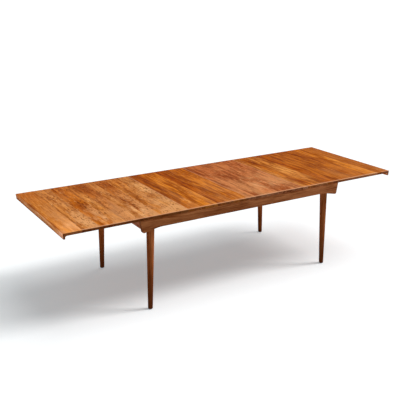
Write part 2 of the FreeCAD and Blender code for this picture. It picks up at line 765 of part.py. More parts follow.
def make_end_apron(name, end):
    """Make an end apron with a notch for each runner of its half of the top."""
    body = new_body(f"{name}_end_apron")
    sketch = new_sketch(body, "YZ_Plane", signed(end, END_APRON_MIDDLE), "outline")
    corners = [(signed(-1, APRON_INNER), UNDERSIDE), (signed(-1, APRON_INNER), END_APRON_BOTTOM)]
    corners += [(APRON_INNER, END_APRON_BOTTOM), (APRON_INNER, UNDERSIDE)]
    for _, side in reversed(SIDES):
        low, high = notch_edges(end, side)
        corners += [(high, UNDERSIDE), (high, RUNNER_BOTTOM), (low, RUNNER_BOTTOM), (low, UNDERSIDE)]
    draw_outline(sketch, corners)
    pad(body, sketch, "Sizes.end_apron_thickness", "board")
    bottom = value(END_APRON_BOTTOM)
    ease_edges(
        body,
        "Fillet",
        "Sizes.end_apron_edge_round",
        lambda line: lies_at(line, z=bottom) and line.BoundBox.YLength > NEAR,
        "lower_edges",
    )
    for side_name, side in SIDES:
        face = signed(side, APRON_INNER)
        depth = "Sizes.dowel_rail_depth"
        places = end_dowel_places(end)
        bore(body, "XZ_Plane", face, places, DOWEL_HOLE, depth, -side, side_name + "_dowel_holes")
    rails = [(signed(side, GUIDE_MIDDLE), GUIDE_TONGUE_LEVEL) for _, side in SIDES]
    face = signed(end, END_APRON_INNER)
    depth = "Sizes.guide_dowel_depth"
    bore(body, "YZ_Plane", face, rails, SMALL_DOWEL_HOLE, depth, end, "guide_dowel_holes")


def make_guide_rail(side_name, side):
    """Make a guide rail with a tongue on each side for the runners and sockets for the leaves' pegs."""
    body = new_body(f"{side_name}_guide_rail")
    sketch = new_sketch(body, "YZ_Plane", "0", "section")
    wide = "Sizes.guide_width / 2"
    reach = f"({wide} + Sizes.guide_tongue_depth)"
    tongue_foot = f"{GUIDE_TONGUE_LEVEL} - Sizes.guide_tongue_height / 2"
    tongue_head = f"{GUIDE_TONGUE_LEVEL} + Sizes.guide_tongue_height / 2"
    middle = signed(side, GUIDE_MIDDLE)
    rising = [
        (wide, RUNNER_BOTTOM),
        (wide, tongue_foot),
        (reach, tongue_foot),
        (reach, tongue_head),
        (wide, tongue_head),
        (wide, GUIDE_TOP),
    ]
    corners = [(f"{middle} + {across}", up) for across, up in rising]
    corners += [(f"{middle} - {across}", up) for across, up in reversed(rising)]
    draw_outline(sketch, corners)
    pad(body, sketch, f"2 * {END_APRON_INNER}", "bar")
    screws = [(signed(end, BEARER_MIDDLE), middle) for _, end in ENDS]
    bite = "Sizes.guide_screw_bite"
    bore(body, "XY_Plane", RUNNER_BOTTOM, screws, SCREW_HOLE, bite, 1, "screw_pilots")
    pegs = [(signed(end, LEAF_MIDDLE), middle) for _, end in ENDS]
    socket = "Sizes.leaf_peg_diameter + 2 * Sizes.leaf_peg_play"
    depth = "Sizes.leaf_peg_drop - Sizes.guide_top_gap + Sizes.leaf_peg_room"
    bore(body, "XY_Plane", GUIDE_TOP, pegs, socket, depth, -1, "peg_sockets")
    for end_name, end in ENDS:
        face = signed(end, END_APRON_INNER)
        places = [(middle, GUIDE_TONGUE_LEVEL)]
        depth = "Sizes.dowel_rail_depth"
        bore(body, "YZ_Plane", face, places, SMALL_DOWEL_HOLE, depth, -end, end_name + "_dowel_hole")


def make_cross_bearer(name, end):
    """Make a cross bearer, which carries the guide rails and the runners between the long aprons."""
    body = new_body(f"{name}_cross_bearer")
    sketch = new_sketch(body, "XZ_Plane", "0", "section")
    far = f"({BEARER_INNER} + Sizes.bearer_width)"
    low = (signed(end, BEARER_INNER), BEARER_BOTTOM)
    draw_rectangle(sketch, low, (signed(end, far), RUNNER_BOTTOM))
    pad(body, sketch, f"2 * {APRON_INNER}", "bar")
    for side_name, side in SIDES:
        face = signed(side, APRON_INNER)
        depth = "Sizes.dowel_rail_depth"
        places = bearer_dowel_places(end)
        bore(body, "XZ_Plane", face, places, SMALL_DOWEL_HOLE, depth, -side, side_name + "_dowel_holes")
    screws = [(signed(end, BEARER_MIDDLE), signed(side, GUIDE_MIDDLE)) for _, side in SIDES]
    bore(body, "XY_Plane", BEARER_BOTTOM, screws, SCREW_HOLE, "Sizes.bearer_depth", 1, "screw_holes")


def make_leg_block(name, end, side):
    """Make the block behind a long apron that a leg is bolted to."""
    body = new_body(f"{name}_leg_block")
    sketch = new_sketch(body, "XZ_Plane", signed(side, f"({APRON_INNER} - Sizes.block_width / 2)"), "face")
    near = f"({LEG_PLACE} - Sizes.block_length / 2)"
    far = f"({LEG_PLACE} + Sizes.block_length / 2)"
    draw_rectangle(sketch, (signed(end, near), BLOCK_BOTTOM), (signed(end, far), BLOCK_TOP))
    pad(body, sketch, "Sizes.block_width", "block")
    inner = value(f"{APRON_INNER} - Sizes.block_width")
    ease_edges(
        body,
        "Chamfer",
        "Sizes.block_chamfer",
        lambda line: lies_at(line, y=side * inner) and line.BoundBox.ZLength > NEAR,
        "inner_corners",
    )
    bolt = [(signed(end, LEG_PLACE), signed(side, LEG_AXIS))]
    bore(body, "XY_Plane", BLOCK_BOTTOM, bolt, BOLT_HOLE, "Sizes.block_height", 1, "bolt_hole")
    face = signed(side, f"({APRON_INNER} - Sizes.block_width)")
    screws = block_screw_places(end)
    recess = "Sizes.block_width - Sizes.block_screw_grip"
    bore(body, "XZ_Plane", face, screws, SCREW_RECESS, recess, side, "screw_recesses")
    bore(body, "XZ_Plane", face, screws, SCREW_HOLE, "Sizes.block_width", side, "screw_holes")


def make_leg(name, end, side):
    """Make a round tapered leg that splays along the table, cut level at its head and foot."""
    turning = doc.addObject("PartDesign::Body", f"{name}_leg_turning")
    sketch = new_sketch(turning, "XZ_Plane", "0", "half_section")
    length = f"(({BLOCK_BOTTOM} - Sizes.glide_height) / cos(Sizes.leg_splay))"
    taper = f"((Sizes.leg_top_diameter - Sizes.leg_foot_diameter) / 2 / {length})"
    draw_outline(
        sketch,
        [
            ("0", "Sizes.leg_trim"),
            ("0", f"-{length} - Sizes.leg_trim"),
            (f"Sizes.leg_foot_diameter / 2 - Sizes.leg_trim * {taper}", f"-{length} - Sizes.leg_trim"),
            (f"Sizes.leg_top_diameter / 2 + Sizes.leg_trim * {taper}", "Sizes.leg_trim"),
        ],
    )
    revolution = turning.newObject("PartDesign::Revolution", "turned_leg")
    revolution.Profile = sketch
    revolution.ReferenceAxis = (sketch, ["V_Axis"])
    revolution.Angle = 360
    across = signed(side, LEG_AXIS)
    along = signed(end, LEG_PLACE)
    turning.Placement = FreeCAD.Placement(FreeCAD.Vector(), FreeCAD.Rotation(ACROSS * -end, 1))
    turning.setExpression("Placement.Rotation.Angle", "Sizes.leg_splay")
    for axis, expression in zip("xyz", (along, across, BLOCK_BOTTOM)):
        turning.setExpression(f"Placement.Base.{axis}", expression)
    foot = signed(end, FOOT_PLACE)
    trim_width = "2 * Sizes.leg_top_diameter"
    trim_height = "2 * Sizes.leg_trim"
    pin_hole = "Sizes.glide_pin_diameter + 2 * Sizes.dowel_clearance"
    tools = [
        cylinder(f"{name}_leg_head_trim", trim_width, trim_height, (along, across, BLOCK_BOTTOM)),
        cylinder(
            f"{name}_leg_foot_trim",
            trim_width,
            trim_height,
            (foot, across, "Sizes.glide_height - 2 * Sizes.leg_trim"),
        ),
        cylinder(
            f"{name}_leg_bolt_hole",
            BOLT_HOLE,
            "Sizes.bolt_depth",
            (along, across, f"{BLOCK_BOTTOM} - Sizes.bolt_depth"),
        ),
        cylinder(
            f"{name}_leg_pin_hole",
            pin_hole,
            "Sizes.glide_pin_length",
            (foot, across, "Sizes.glide_height"),
        ),
    ]
    trimmed = cut(f"{name}_leg_trimmed", turning, tools)
    doc.recompute()
    level = value("Sizes.glide_height")
    wide = value("Sizes.glide_diameter")
    radius = value("Sizes.foot_round")
    leg = doc.addObject("Part::Fillet", f"{name}_leg")
    leg.Base = trimmed
    leg.Edges = [
        (number, radius, radius)
        for number, edge in enumerate(trimmed.Shape.Edges, start=1)
        if lies_at(edge, z=level) and edge.BoundBox.XLength > wide
    ]
    pieces.append(leg)


def make_glide(name, end, side):
    """Make a foot glide: a disc with an eased lower edge and a pin up into the leg."""
    place = (signed(end, FOOT_PLACE), signed(side, LEG_AXIS))
    tread = doc.addObject("Part::Cone", name + "_tread")
    tread.setExpression("Radius1", "Sizes.glide_diameter / 2 - Sizes.glide_ease")
    tread.setExpression("Radius2", "Sizes.glide_diameter / 2")
    tread.setExpression("Height", "Sizes.glide_ease")
    tread.setExpression("Placement.Base.x", place[0])
    tread.setExpression("Placement.Base.y", place[1])
    disc = cylinder(
        name + "_disc",
        "Sizes.glide_diameter",
        "Sizes.glide_height - Sizes.glide_ease",
        (*place, "Sizes.glide_ease"),
    )
    pin = cylinder(
        name + "_pin",
        "Sizes.glide_pin_diameter",
        "Sizes.glide_pin_length",
        (*place, "Sizes.glide_height"),
    )
    whole = doc.addObject("Part::MultiFuse", name)
    whole.Shapes = [tread, disc, pin]
    return whole


def make_nut(name, place):
    """Make a plain hexagon nut standing on the washer."""
    body = doc.addObject("Part::Prism", name + "_body")
    body.Polygon = 6
    body.setExpression("Circumradius", "Sizes.nut_width / 2 / cos(30)")
    body.setExpression("Height", "Sizes.nut_height")
    for axis, expression in zip("xyz", (*place, WASHER_TOP)):
        body.setExpression(f"Placement.Base.{axis}", expression)
    hole = cylinder(name + "_hole", BOLT_HOLE, "Sizes.nut_height", (*place, WASHER_TOP))
    nut = doc.addObject("Part::Cut", name)
    nut.Base = body
    nut.Tool = hole
    return nut


def make_washer(name, place):
    """Make a flat washer on top of a leg block."""
    thickness = "Sizes.washer_thickness"
    disc = cylinder(name + "_disc", "Sizes.washer_diameter", thickness, (*place, BLOCK_TOP))
    hole = cylinder(name + "_hole", BOLT_HOLE, thickness, (*place, BLOCK_TOP))
    washer = doc.addObject("Part::Cut", name)
    washer.Base = disc
    washer.Tool = hole
    return washer


def make_legs():
    """Make the four legs with their blocks, glides, bolts, washers, nuts and block screws."""
    glides, bolts, washers, nuts, screws = [], [], [], [], []
    for side_name, side in SIDES:
        for end_name, end in ENDS:
            name = f"{side_name}_{end_name}"
            place = (signed(end, LEG_PLACE), signed(side, LEG_AXIS))
            make_leg(name, end, side)
            make_leg_block(name, end, side)
            glides.append(make_glide(f"{name}_glide", end, side))
            length = (
                "Sizes.bolt_depth + Sizes.block_height + Sizes.washer_thickness"
                " + Sizes.nut_height + Sizes.bolt_show"
            )
            foot = (*place, f"{BLOCK_BOTTOM} - Sizes.bolt_depth")
            bolts.append(cylinder(f"{name}_bolt", "Sizes.bolt_diameter", length, foot))
            washers.append(make_washer(f"{name}_washer", place))
            nuts.append(make_nut(f"{name}_nut", place))
            seat = signed(side, f"({APRON_INNER} - Sizes.block_screw_grip)")
            length = "Sizes.block_screw_grip + Sizes.block_screw_bite"
            for index, (along, up) in enumerate(block_screw_places(end)):
                label = f"{name}_block_screw_{index}"
                screws.append(screw(label, (along, seat, up), length, ACROSS * side))
    group("foot_glides", glides)
    group("leg_bolts", bolts)
    group("leg_washers", washers)
    group("leg_nuts", nuts)
    group("leg_block_screws", screws)


def make_frame():
    """Make the aprons, guide rails and cross bearers with the dowels and screws that join them."""
    end_dowels, bearer_dowels, guide_dowels, screws = [], [], [], []
    joint = "Sizes.dowel_apron_depth + Sizes.dowel_rail_depth"
    for end_name, end in ENDS:
        make_end_apron(end_name, end)
        make_cross_bearer(end_name, end)
    for side_name, side in SIDES:
        make_long_apron(side_name, side)
        make_guide_rail(side_name, side)
        start = signed(side, f"({APRON_INNER} - Sizes.dowel_rail_depth)")
        outward = ACROSS * side
        for end_name, end in ENDS:
            name = f"{side_name}_{end_name}"
            for index, (along, up) in enumerate(end_dowel_places(end)):
                label = f"{name}_end_dowel_{index}"
                base = (along, start, up)
                end_dowels.append(cylinder(label, "Sizes.dowel_diameter", joint, base, outward))
            for index, (along, up) in enumerate(bearer_dowel_places(end)):
                label = f"{name}_bearer_dowel_{index}"
                base = (along, start, up)
                bearer_dowels.append(
                    cylinder(label, "Sizes.bearer_dowel_diameter", joint, base, outward)
                )
            base = (
                signed(end, f"({END_APRON_INNER} - Sizes.dowel_rail_depth)"),
                signed(side, GUIDE_MIDDLE),
                GUIDE_TONGUE_LEVEL,
            )
            length = "Sizes.dowel_rail_depth + Sizes.guide_dowel_depth"
            guide_dowels.append(
                cylinder(f"{name}_guide_dowel", "Sizes.bearer_dowel_diameter", length, base, ALONG * end)
            )
            seat = (signed(end, BEARER_MIDDLE), signed(side, GUIDE_MIDDLE), BEARER_BOTTOM)
            length = "Sizes.bearer_depth + Sizes.guide_screw_bite"
            screws.append(screw(f"{name}_guide_screw", seat, length))
    group("end_apron_dowels", end_dowels)
    group("bearer_dowels", bearer_dowels)
    group("guide_rail_dowels", guide_dowels)
    group("guide_rail_screws", screws)


make_frame()
make_legs()
for end_name, end in ENDS:
    make_top_half(end_name, end)
    make_leaf(end_name, end)
doc.recompute()

failed = [item.Label for item in doc.Objects if {"Invalid", "Error"} & set(item.State)]
failed += [piece.Label for piece in pieces if piece.Shape.isNull() or not piece.Shape.isValid()]
if failed:
    raise RuntimeError("not built: " + ", ".join(failed))

os.makedirs("parts", exist_ok=True)
for piece in pieces:
    piece.Shape.exportStep(os.path.join("parts", piece.Label + ".step"))
print(f"{len(pieces)} pieces written")
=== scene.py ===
"""Looks of an extension dining table: a staved top, an oiled wood frame, and turned and steel fittings."""

import json
import logging
import math
import random
from collections.abc import Iterable, Sequence
from dataclasses import asdict, dataclass
from enum import Enum
from typing import Any, ClassVar

import bmesh
import bpy
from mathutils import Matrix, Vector


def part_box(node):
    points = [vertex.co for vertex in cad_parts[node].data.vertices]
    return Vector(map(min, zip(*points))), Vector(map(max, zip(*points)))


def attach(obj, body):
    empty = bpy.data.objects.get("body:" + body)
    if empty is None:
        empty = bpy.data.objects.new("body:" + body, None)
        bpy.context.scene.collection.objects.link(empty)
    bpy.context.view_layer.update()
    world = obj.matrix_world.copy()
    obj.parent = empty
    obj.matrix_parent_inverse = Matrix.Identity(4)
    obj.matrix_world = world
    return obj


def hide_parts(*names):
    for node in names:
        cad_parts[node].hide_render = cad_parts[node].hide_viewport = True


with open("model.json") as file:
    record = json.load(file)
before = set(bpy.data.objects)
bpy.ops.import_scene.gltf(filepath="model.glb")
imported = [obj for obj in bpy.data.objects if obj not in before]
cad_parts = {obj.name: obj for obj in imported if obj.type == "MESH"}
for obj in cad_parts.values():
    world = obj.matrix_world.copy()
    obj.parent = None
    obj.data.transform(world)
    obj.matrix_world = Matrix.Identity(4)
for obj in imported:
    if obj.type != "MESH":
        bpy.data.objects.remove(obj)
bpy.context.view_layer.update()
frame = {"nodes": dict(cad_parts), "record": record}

LOG = logging.getLogger("table")

Colour = tuple[float, float, float, float]
Tint = tuple[float, float, float]
Box = tuple[Vector, Vector]
Socket = bpy.types.NodeSocket
Feed = Any

# The middle level of coloured noise.
MIDDLE = (0.5, 0.5, 0.5)
# The scale at which the wave texture draws one ring to the metre.
RING_SCALE = math.tau / 20


def linear(red: int, green: int, blue: int) -> Colour:
    """Turn an sRGB colour into linear light.

    Args:
        red: Red, from 0 to 255.
        green: Green, from 0 to 255.
        blue: Blue, from 0 to 255.

    Returns:
        The linear colour with full alpha.
    """
    shares = [part / 255 for part in (red, green, blue)]
    bent = [s / 12.92 if s <= 0.04045 else ((s + 0.055) / 1.055) ** 2.4 for s in shares]
    return (*bent, 1.0)


def tinted(colour: Colour, tint: Tint) -> Colour:
    """Return a colour with its parts multiplied by those of a tint."""
    return (*(part * factor for part, factor in zip(colour, tint)), 1.0)


def solid_boxes(node: str) -> list[Box]:
    """Find the separate solids of a CAD node.

    Args:
        node: The node's name.

    Returns:
        The lowest and highest corner of each solid.
    """
    mesh = frame["nodes"][node].data
    spots: dict[tuple[float, ...], int] = {}
    spot_of = [spots.setdefault(tuple(round(c, 6) for c in v.co), len(spots)) for v in mesh.vertices]
    root = list(range(len(spots)))

    def find(spot: int) -> int:
        """Follow a spot to the one that stands for its solid.

        Args:
            spot: The number of the spot.

        Returns:
            The number of the spot that stands for the solid.
        """
        while root[spot] != spot:
            root[spot] = root[root[spot]]
            spot = root[spot]
        return spot

    for face in mesh.polygons:
        first, *others = (find(spot_of[corner]) for corner in face.vertices)
        for other in others:
            root[find(other)] = find(first)
    solids: dict[int, list[Vector]] = {}
    for vertex, spot in zip(mesh.vertices, spot_of):
        solids.setdefault(find(spot), []).append(vertex.co)
    return [
        (Vector(map(min, *points)), Vector(map(max, *points)))
        for points in solids.values()
    ]


def paint(node: str, finish: bpy.types.Material) -> None:
    """Give a CAD node one finish.

    Args:
        node: The node's name.
        finish: The material.
    """
    for slot in frame["nodes"][node].material_slots:
        slot.link = "OBJECT"
        slot.material = finish
    LOG.info("%s: %s", node, finish.name)


class Graph:
    """Adds and links the nodes of one node tree."""

    def __init__(self, tree: bpy.types.NodeTree) -> None:
        """Keep the tree that nodes are added to."""
        self.tree = tree

    def add(self, kind: str, feeds: dict[str | int, Feed] | None = None, **settings: Any) -> bpy.types.Node:
        """Add one node.

        Args:
            kind: The node's type.
            feeds: What goes into each input, by its name or number: a socket to link from, or a value.
            settings: The node's own properties.

        Returns:
            The new node.
        """
        node = self.tree.nodes.new(kind)
        for name, setting in settings.items():
            setattr(node, name, setting)
        for key, feed in (feeds or {}).items():
            if isinstance(feed, Socket):
                self.tree.links.new(feed, node.inputs[key])
            else:
                node.inputs[key].default_value = feed
        return node

    def math(self, operation: str, first: Feed, second: Feed = 0.0) -> Socket:
        """Return the socket of a sum, product or other operation on two numbers."""
        return self.add("ShaderNodeMath", {0: first, 1: second}, operation=operation).outputs[0]

    def vector(self, operation: str, first: Feed, second: Feed) -> Socket:
        """Return the vector socket of an operation on two vectors."""
        return self.add("ShaderNodeVectorMath", {0: first, 1: second}, operation=operation).outputs[0]

    def measure(self, operation: str, first: Feed, second: Feed = (0.0, 0.0, 0.0)) -> Socket:
        """Return the number socket of an operation on two vectors, such as a length."""
        return self.add("ShaderNodeVectorMath", {0: first, 1: second}, operation=operation).outputs["Value"]


class ShaderGraph(Graph):
    """Adds the nodes of a material or a world."""

    @classmethod
    def emptied(cls, owner: bpy.types.Material | bpy.types.World) -> "ShaderGraph":
        """Clear the nodes of a material or a world.

        Args:
            owner: The material or the world.

        Returns:
            The graph that takes its new nodes.
        """
        owner.use_nodes = True
        owner.node_tree.nodes.clear()
        return cls(owner.node_tree)

    def mix(self, factor: Feed, first: Feed, second: Feed, blend: str = "MIX") -> Socket:
        """Mix two colours.

        Args:
            factor: The share of the second colour.
            first: The first colour.
            second: The second colour.
            blend: The way they are mixed.

        Returns:
            The mixed colour's socket.
        """
        # The node also mixes numbers and vectors: the colours are its inputs 6 and 7 and its output 2.
        feeds = {0: factor, 6: first, 7: second}
        node = self.add("ShaderNodeMix", feeds, data_type="RGBA", blend_type=blend, clamp_factor=True)
        return node.outputs[2]

    def remap(
        self, value: Feed, low: float, high: float, to_low: float = 0.0, to_high: float = 1.0
    ) -> Socket:
        """Return a value eased from low to high into to_low to to_high, and held beyond them."""
        feeds = {0: value, 1: low, 2: high, 3: to_low, 4: to_high}
        return self.add("ShaderNodeMapRange", feeds, interpolation_type="SMOOTHSTEP").outputs[0]

    def noise(
        self, place: Feed, scale: float, detail: float = 3.0, roughness: float = 0.6
    ) -> bpy.types.Node:
        """Return a noise node at a place, with scale features to the metre."""
        feeds = {"Vector": place, "Scale": scale, "Detail": detail, "Roughness": roughness}
        return self.add("ShaderNodeTexNoise", feeds)

    def attribute(self, name: str, output: str) -> Socket:
        """Return an attribute of the mesh, as a vector, a colour or a number."""
        return self.add("ShaderNodeAttribute", attribute_name=name).outputs[output]

    def relief(self, height: Socket, strength: float, depth: float) -> Socket:
        """Return the normals of a fine relief, so many metres deep."""
        feeds = {"Strength": strength, "Distance": depth, "Height": height}
        return self.add("ShaderNodeBump", feeds).outputs[0]

    def surface(self, colour: Socket, rough: Socket, normal: Socket, **values: float) -> None:
        """Finish a material with one shader.

        Args:
            colour: The colour.
            rough: The roughness.
            normal: The normals of its relief.
            values: Other inputs of the shader, with _ for each space of their names.
        """
        feeds = {"Base Color": colour, "Roughness": rough, "Normal": normal}
        feeds.update({name.replace("_", " "): value for name, value in values.items()})
        shader = self.add("ShaderNodeBsdfPrincipled", feeds)
        self.add("ShaderNodeOutputMaterial", {"Surface": shader.outputs[0]})


class Tone(Enum):
    """The colours of wood that the staves were picked in, as sRGB."""

    SAND = (201, 130, 66)
    TAN = (194, 118, 52)
    HONEY = (194, 115, 45)
    GOLD = (197, 111, 30)
    AMBER = (188, 102, 26)
    CHESTNUT = (174, 92, 24)
    UMBER = (168, 82, 12)
    RUSSET = (181, 101, 38)
    ROSE = (181, 100, 52)

    @property
    def colour(self) -> Colour:
        """Give the tone in linear light."""
        return linear(*self.value)


class Axis(Enum):
    """An axis of the table, which the grain of a piece or a change of its colour follows."""

    ALONG = 0
    ACROSS = 1
    UPRIGHT = 2

    @property
    def direction(self) -> Vector:
        """Give the direction of the axis."""
        return Vector(tuple(float(number == self.value) for number in range(3)))

    def stretch(self, share: float) -> Vector:
        """Give the factors that draw a pattern out along the axis, to 1 / share of its width."""
        return Vector(tuple(share if number == self.value else 1.0 for number in range(3)))


@dataclass(frozen=True)
class Tide:
    """A slow change of colour along an axis, from none at its start to the whole tint at its end."""

    axis: Axis
    start: float
    end: float
    tint: Tint


@dataclass(frozen=True)
class Mark:
    """A stain, a bleached patch or a painted glint in the top, by its middle and reach in metres."""

    middle: tuple[float, float]
    reach: tuple[float, float]
    tint: Tint


@dataclass(frozen=True)
class Pattern:
    """A pattern of noise in a finish.

    It has so many features to the metre, whose width is a share of their length. It sets in between two
    levels of the noise, and counts for an amount.
    """

    scale: float
    share: float = 1.0
    low: float = 0.0
    high: float = 1.0
    amount: float = 1.0


@dataclass(frozen=True)
class Wood:
    """Oiled solid wood whose pattern runs through the piece, so that its ends show end grain."""

    sway: ClassVar[Pattern] = Pattern(5, 0.5, amount=0.03)
    band: ClassVar[Pattern] = Pattern(24, 0.07, amount=2.2)
    thread: ClassVar[Pattern] = Pattern(70, 0.07, amount=2.8)
    hair: ClassVar[Pattern] = Pattern(150, 0.03, 0.3, 0.7, 1.8)
    cloud: ClassVar[Pattern] = Pattern(9, 0.35, amount=1.7)
    curl: ClassVar[Pattern] = Pattern(16, 1.8, amount=2.4)
    fibre: ClassVar[Pattern] = Pattern(900, 0.025, amount=0.5)
    pore: ClassVar[Pattern] = Pattern(620, 0.09, 0.6, 0.7, 0.35)
    vein: ClassVar[Pattern] = Pattern(42, 0.08, 0.55, 0.63)
    patch: ClassVar[Pattern] = Pattern(7, 0.4, 0.40, 0.62)
    glint: ClassVar[Pattern] = Pattern(58, 0.25, 0.43, 0.33, 0.55)
    crowd: ClassVar[Pattern] = Pattern(11, 0.7, 0.42, 0.62)
    spot: ClassVar[Pattern] = Pattern(95, 0.28, 0.52, 0.61, 0.85)
    blot: ClassVar[Pattern] = Pattern(22, low=1.15, high=0.35)
    blot_shake: ClassVar[tuple[float, float, float]] = (0.09, 0.14, 0.0)
    least_crowd: ClassVar[float] = 0.1
    most_crowd: ClassVar[float] = 1.15
    # Where the bleaching sets in towards the front of the table, and how much; the paling there is partly
    # painted sheen.
    sunned: ClassVar[tuple[float, float, float, float]] = (0.30, -0.45, 0.2, 1.0)
    underside: ClassVar[tuple[float, float]] = (-0.7, -0.3)
    end_turn: ClassVar[tuple[float, float]] = (0.5, 0.8)
    bleached: ClassVar[Colour] = linear(224, 162, 106)
    glinting: ClassVar[Colour] = linear(232, 176, 116)
    # The colour of the worn edges, which is partly a painted highlight along the arris.
    worn: ClassVar[Colour] = linear(216, 160, 120)
    wear_share: ClassVar[float] = 0.7
    pore_tint: ClassVar[Colour] = (0.4, 0.3, 0.25, 1.0)
    vein_tint: ClassVar[Colour] = (0.42, 0.30, 0.20, 1.0)
    fleck_tint: ClassVar[Colour] = (0.40, 0.29, 0.20, 1.0)
    ring_lean: ClassVar[float] = 0.022
    smoother: ClassVar[float] = 0.05
    rougher: ClassVar[float] = 0.07
    relief: ClassVar[float] = 0.35
    relief_depth: ClassVar[float] = 0.0004

    name: str
    grain: Axis
    tone: Colour | None = None
    streaks: float = 0.6
    rings: float = 0.25
    ring_gap: float = 0.007
    bleach: float = 0.0
    fleck: float = 0.2
    ripple: float = 0.0
    veins: float = 0.3
    deep: Tint = (0.60, 0.46, 0.33)
    pale: Tint = (1.30, 1.44, 1.62)
    end_shade: Tint = (0.24, 0.19, 0.17)
    roughness: float = 0.55
    gloss: float = 0.006
    heart: tuple[float, float, float] = (0.0, 0.0, 0.0)
    tides: tuple[Tide, ...] = ()
    marks: tuple[Mark, ...] = ()

    @property
    def staved(self) -> bool:
        """Tell whether the tone and the figure come from the staves of the mesh."""
        return self.tone is None

    def material(self) -> bpy.types.Material:
        """Make the material.

        Returns:
            The finished material.
        """
        material = bpy.data.materials.new(self.name)
        graph = ShaderGraph.emptied(material)
        coordinates = graph.add("ShaderNodeTexCoord").outputs
        place = self.own_place(graph, coordinates["Object"])
        bent = self.bend(graph, place)
        hair = self.drawn(graph, bent, self.hair)
        fibre = self.drawn(graph, bent, self.fibre)
        pores = self.grown(graph, bent, self.pore)
        light = self.light(graph, bent, hair)
        colour = self.veined(graph, self.colour(graph, light), bent)
        colour = self.weathered(graph, colour, coordinates, place)
        filled = graph.math("MULTIPLY", pores, self.pore.amount)
        colour = graph.mix(filled, colour, self.pore_tint, "MULTIPLY")
        colour = self.shaded(graph, colour, coordinates)
        smooth, dull = self.roughness - self.smoother, self.roughness + self.rougher
        rough = graph.remap(hair, self.hair.low, self.hair.high, smooth, dull)
        height = graph.math("SUBTRACT", graph.math("MULTIPLY", fibre, self.fibre.amount), pores)
        normal = graph.relief(height, self.relief, self.relief_depth)
        graph.surface(colour, rough, normal, Specular_IOR_Level=self.gloss)
        return material

    def own_place(self, graph: ShaderGraph, spot: Socket) -> Socket:
        """Return the place from the pattern's heart, which each stave or the whole piece has of its own."""
        heart = graph.attribute("heart", "Vector") if self.staved else self.heart
        return graph.vector("SUBTRACT", spot, heart)

    def bend(self, graph: ShaderGraph, place: Socket) -> Socket:
        """Add the slow waves of the grain across it.

        Args:
            graph: The graph that takes the nodes.
            place: The place in the wood.

        Returns:
            The place in the bent grain.
        """
        stretched = graph.vector("MULTIPLY", place, self.grain.stretch(self.sway.share))
        slow = graph.noise(stretched, self.sway.scale, detail=1.0, roughness=0.5).outputs["Color"]
        wave = graph.vector("MULTIPLY", graph.vector("SUBTRACT", slow, MIDDLE), (self.sway.amount,) * 3)
        return graph.vector("ADD", place, wave)

    def drawn(self, graph: ShaderGraph, place: Socket, pattern: Pattern) -> Socket:
        """Return the noise of a pattern, drawn out along the grain."""
        stretched = graph.vector("MULTIPLY", place, self.grain.stretch(pattern.share))
        return graph.noise(stretched, pattern.scale).outputs[0]

    def grown(
        self, graph: ShaderGraph, place: Socket, pattern: Pattern, least: float = 0.0, most: float = 1.0
    ) -> Socket:
        """Return how far a pattern has set in, from least to most."""
        return graph.remap(self.drawn(graph, place, pattern), pattern.low, pattern.high, least, most)

    def ring(self, graph: ShaderGraph, bent: Socket) -> Socket:
        """Draw the growth rings, which lean a little to the grain.

        Args:
            graph: The graph that takes the nodes.
            bent: The place in the bent grain.

        Returns:
            The rings, from 0 to 1.
        """
        lean = [0.0, 0.0, 0.0]
        lean[(self.grain.value + 1) % 3] = self.ring_lean
        turned = graph.add("ShaderNodeMapping", {"Vector": bent, "Rotation": lean}).outputs[0]
        feeds = {
            "Vector": turned,
            "Scale": RING_SCALE / self.ring_gap,
            "Distortion": 4.0,
            "Detail": 2.0,
            "Detail Scale": 0.6,
            "Detail Roughness": 0.6,
        }
        wave = graph.add(
            "ShaderNodeTexWave",
            feeds,
            wave_type="RINGS",
            rings_direction="XYZ"[self.grain.value],
            wave_profile="SAW",
        )
        return wave.outputs["Fac"]

    def figure(self, graph: ShaderGraph) -> tuple[Feed, Feed, Feed]:
        """Look up the figure of the wood.

        Args:
            graph: The graph that takes the nodes.

        Returns:
            How much the wood is bleached, flecked and rippled.
        """
        if not self.staved:
            return self.bleach, self.fleck, self.ripple
        parts = graph.add("ShaderNodeSeparateXYZ", {0: graph.attribute("figure", "Vector")}).outputs
        return parts[0], parts[1], parts[2]

    def light(self, graph: ShaderGraph, bent: Socket, hair: Socket) -> Socket:
        """Add up the streaks, rings, clouds and ripples.

        Args:
            graph: The graph that takes the nodes.
            bent: The place in the bent grain.
            hair: The finest streaks.

        Returns:
            How light the wood is, about 0 to 1.
        """
        _, _, ripple = self.figure(graph)
        light = self.swing(graph, self.drawn(graph, bent, self.band), self.band.amount * self.streaks)
        for pattern, amount in (
            (self.drawn(graph, bent, self.thread), self.thread.amount * self.streaks),
            (hair, self.hair.amount * self.streaks),
            (self.ring(graph, bent), self.rings),
            (self.drawn(graph, bent, self.cloud), self.cloud.amount * self.streaks),
        ):
            light = graph.math("ADD", light, self.swing(graph, pattern, amount))
        waves = self.swing(graph, self.drawn(graph, bent, self.curl), self.curl.amount)
        light = graph.math("ADD", light, graph.math("MULTIPLY", ripple, waves))
        return graph.math("ADD", light, 0.5)

    def swing(self, graph: ShaderGraph, pattern: Socket, amount: float) -> Socket:
        """Return a pattern's distance from its middle, times an amount."""
        return graph.math("MULTIPLY", graph.math("SUBTRACT", pattern, 0.5), amount)

    def colour(self, graph: ShaderGraph, light: Socket) -> Socket:
        """Colour the fresh wood, from its deep to its pale parts.

        Args:
            graph: The graph that takes the nodes.
            light: How light the wood is.

        Returns:
            The colour.
        """
        if not self.staved:
            return graph.mix(light, tinted(self.tone, self.deep), tinted(self.tone, self.pale))
        tone = graph.attribute("tone", "Color")
        deep, pale = (graph.mix(1.0, tone, (*tint, 1.0), "MULTIPLY") for tint in (self.deep, self.pale))
        return graph.mix(light, deep, pale)

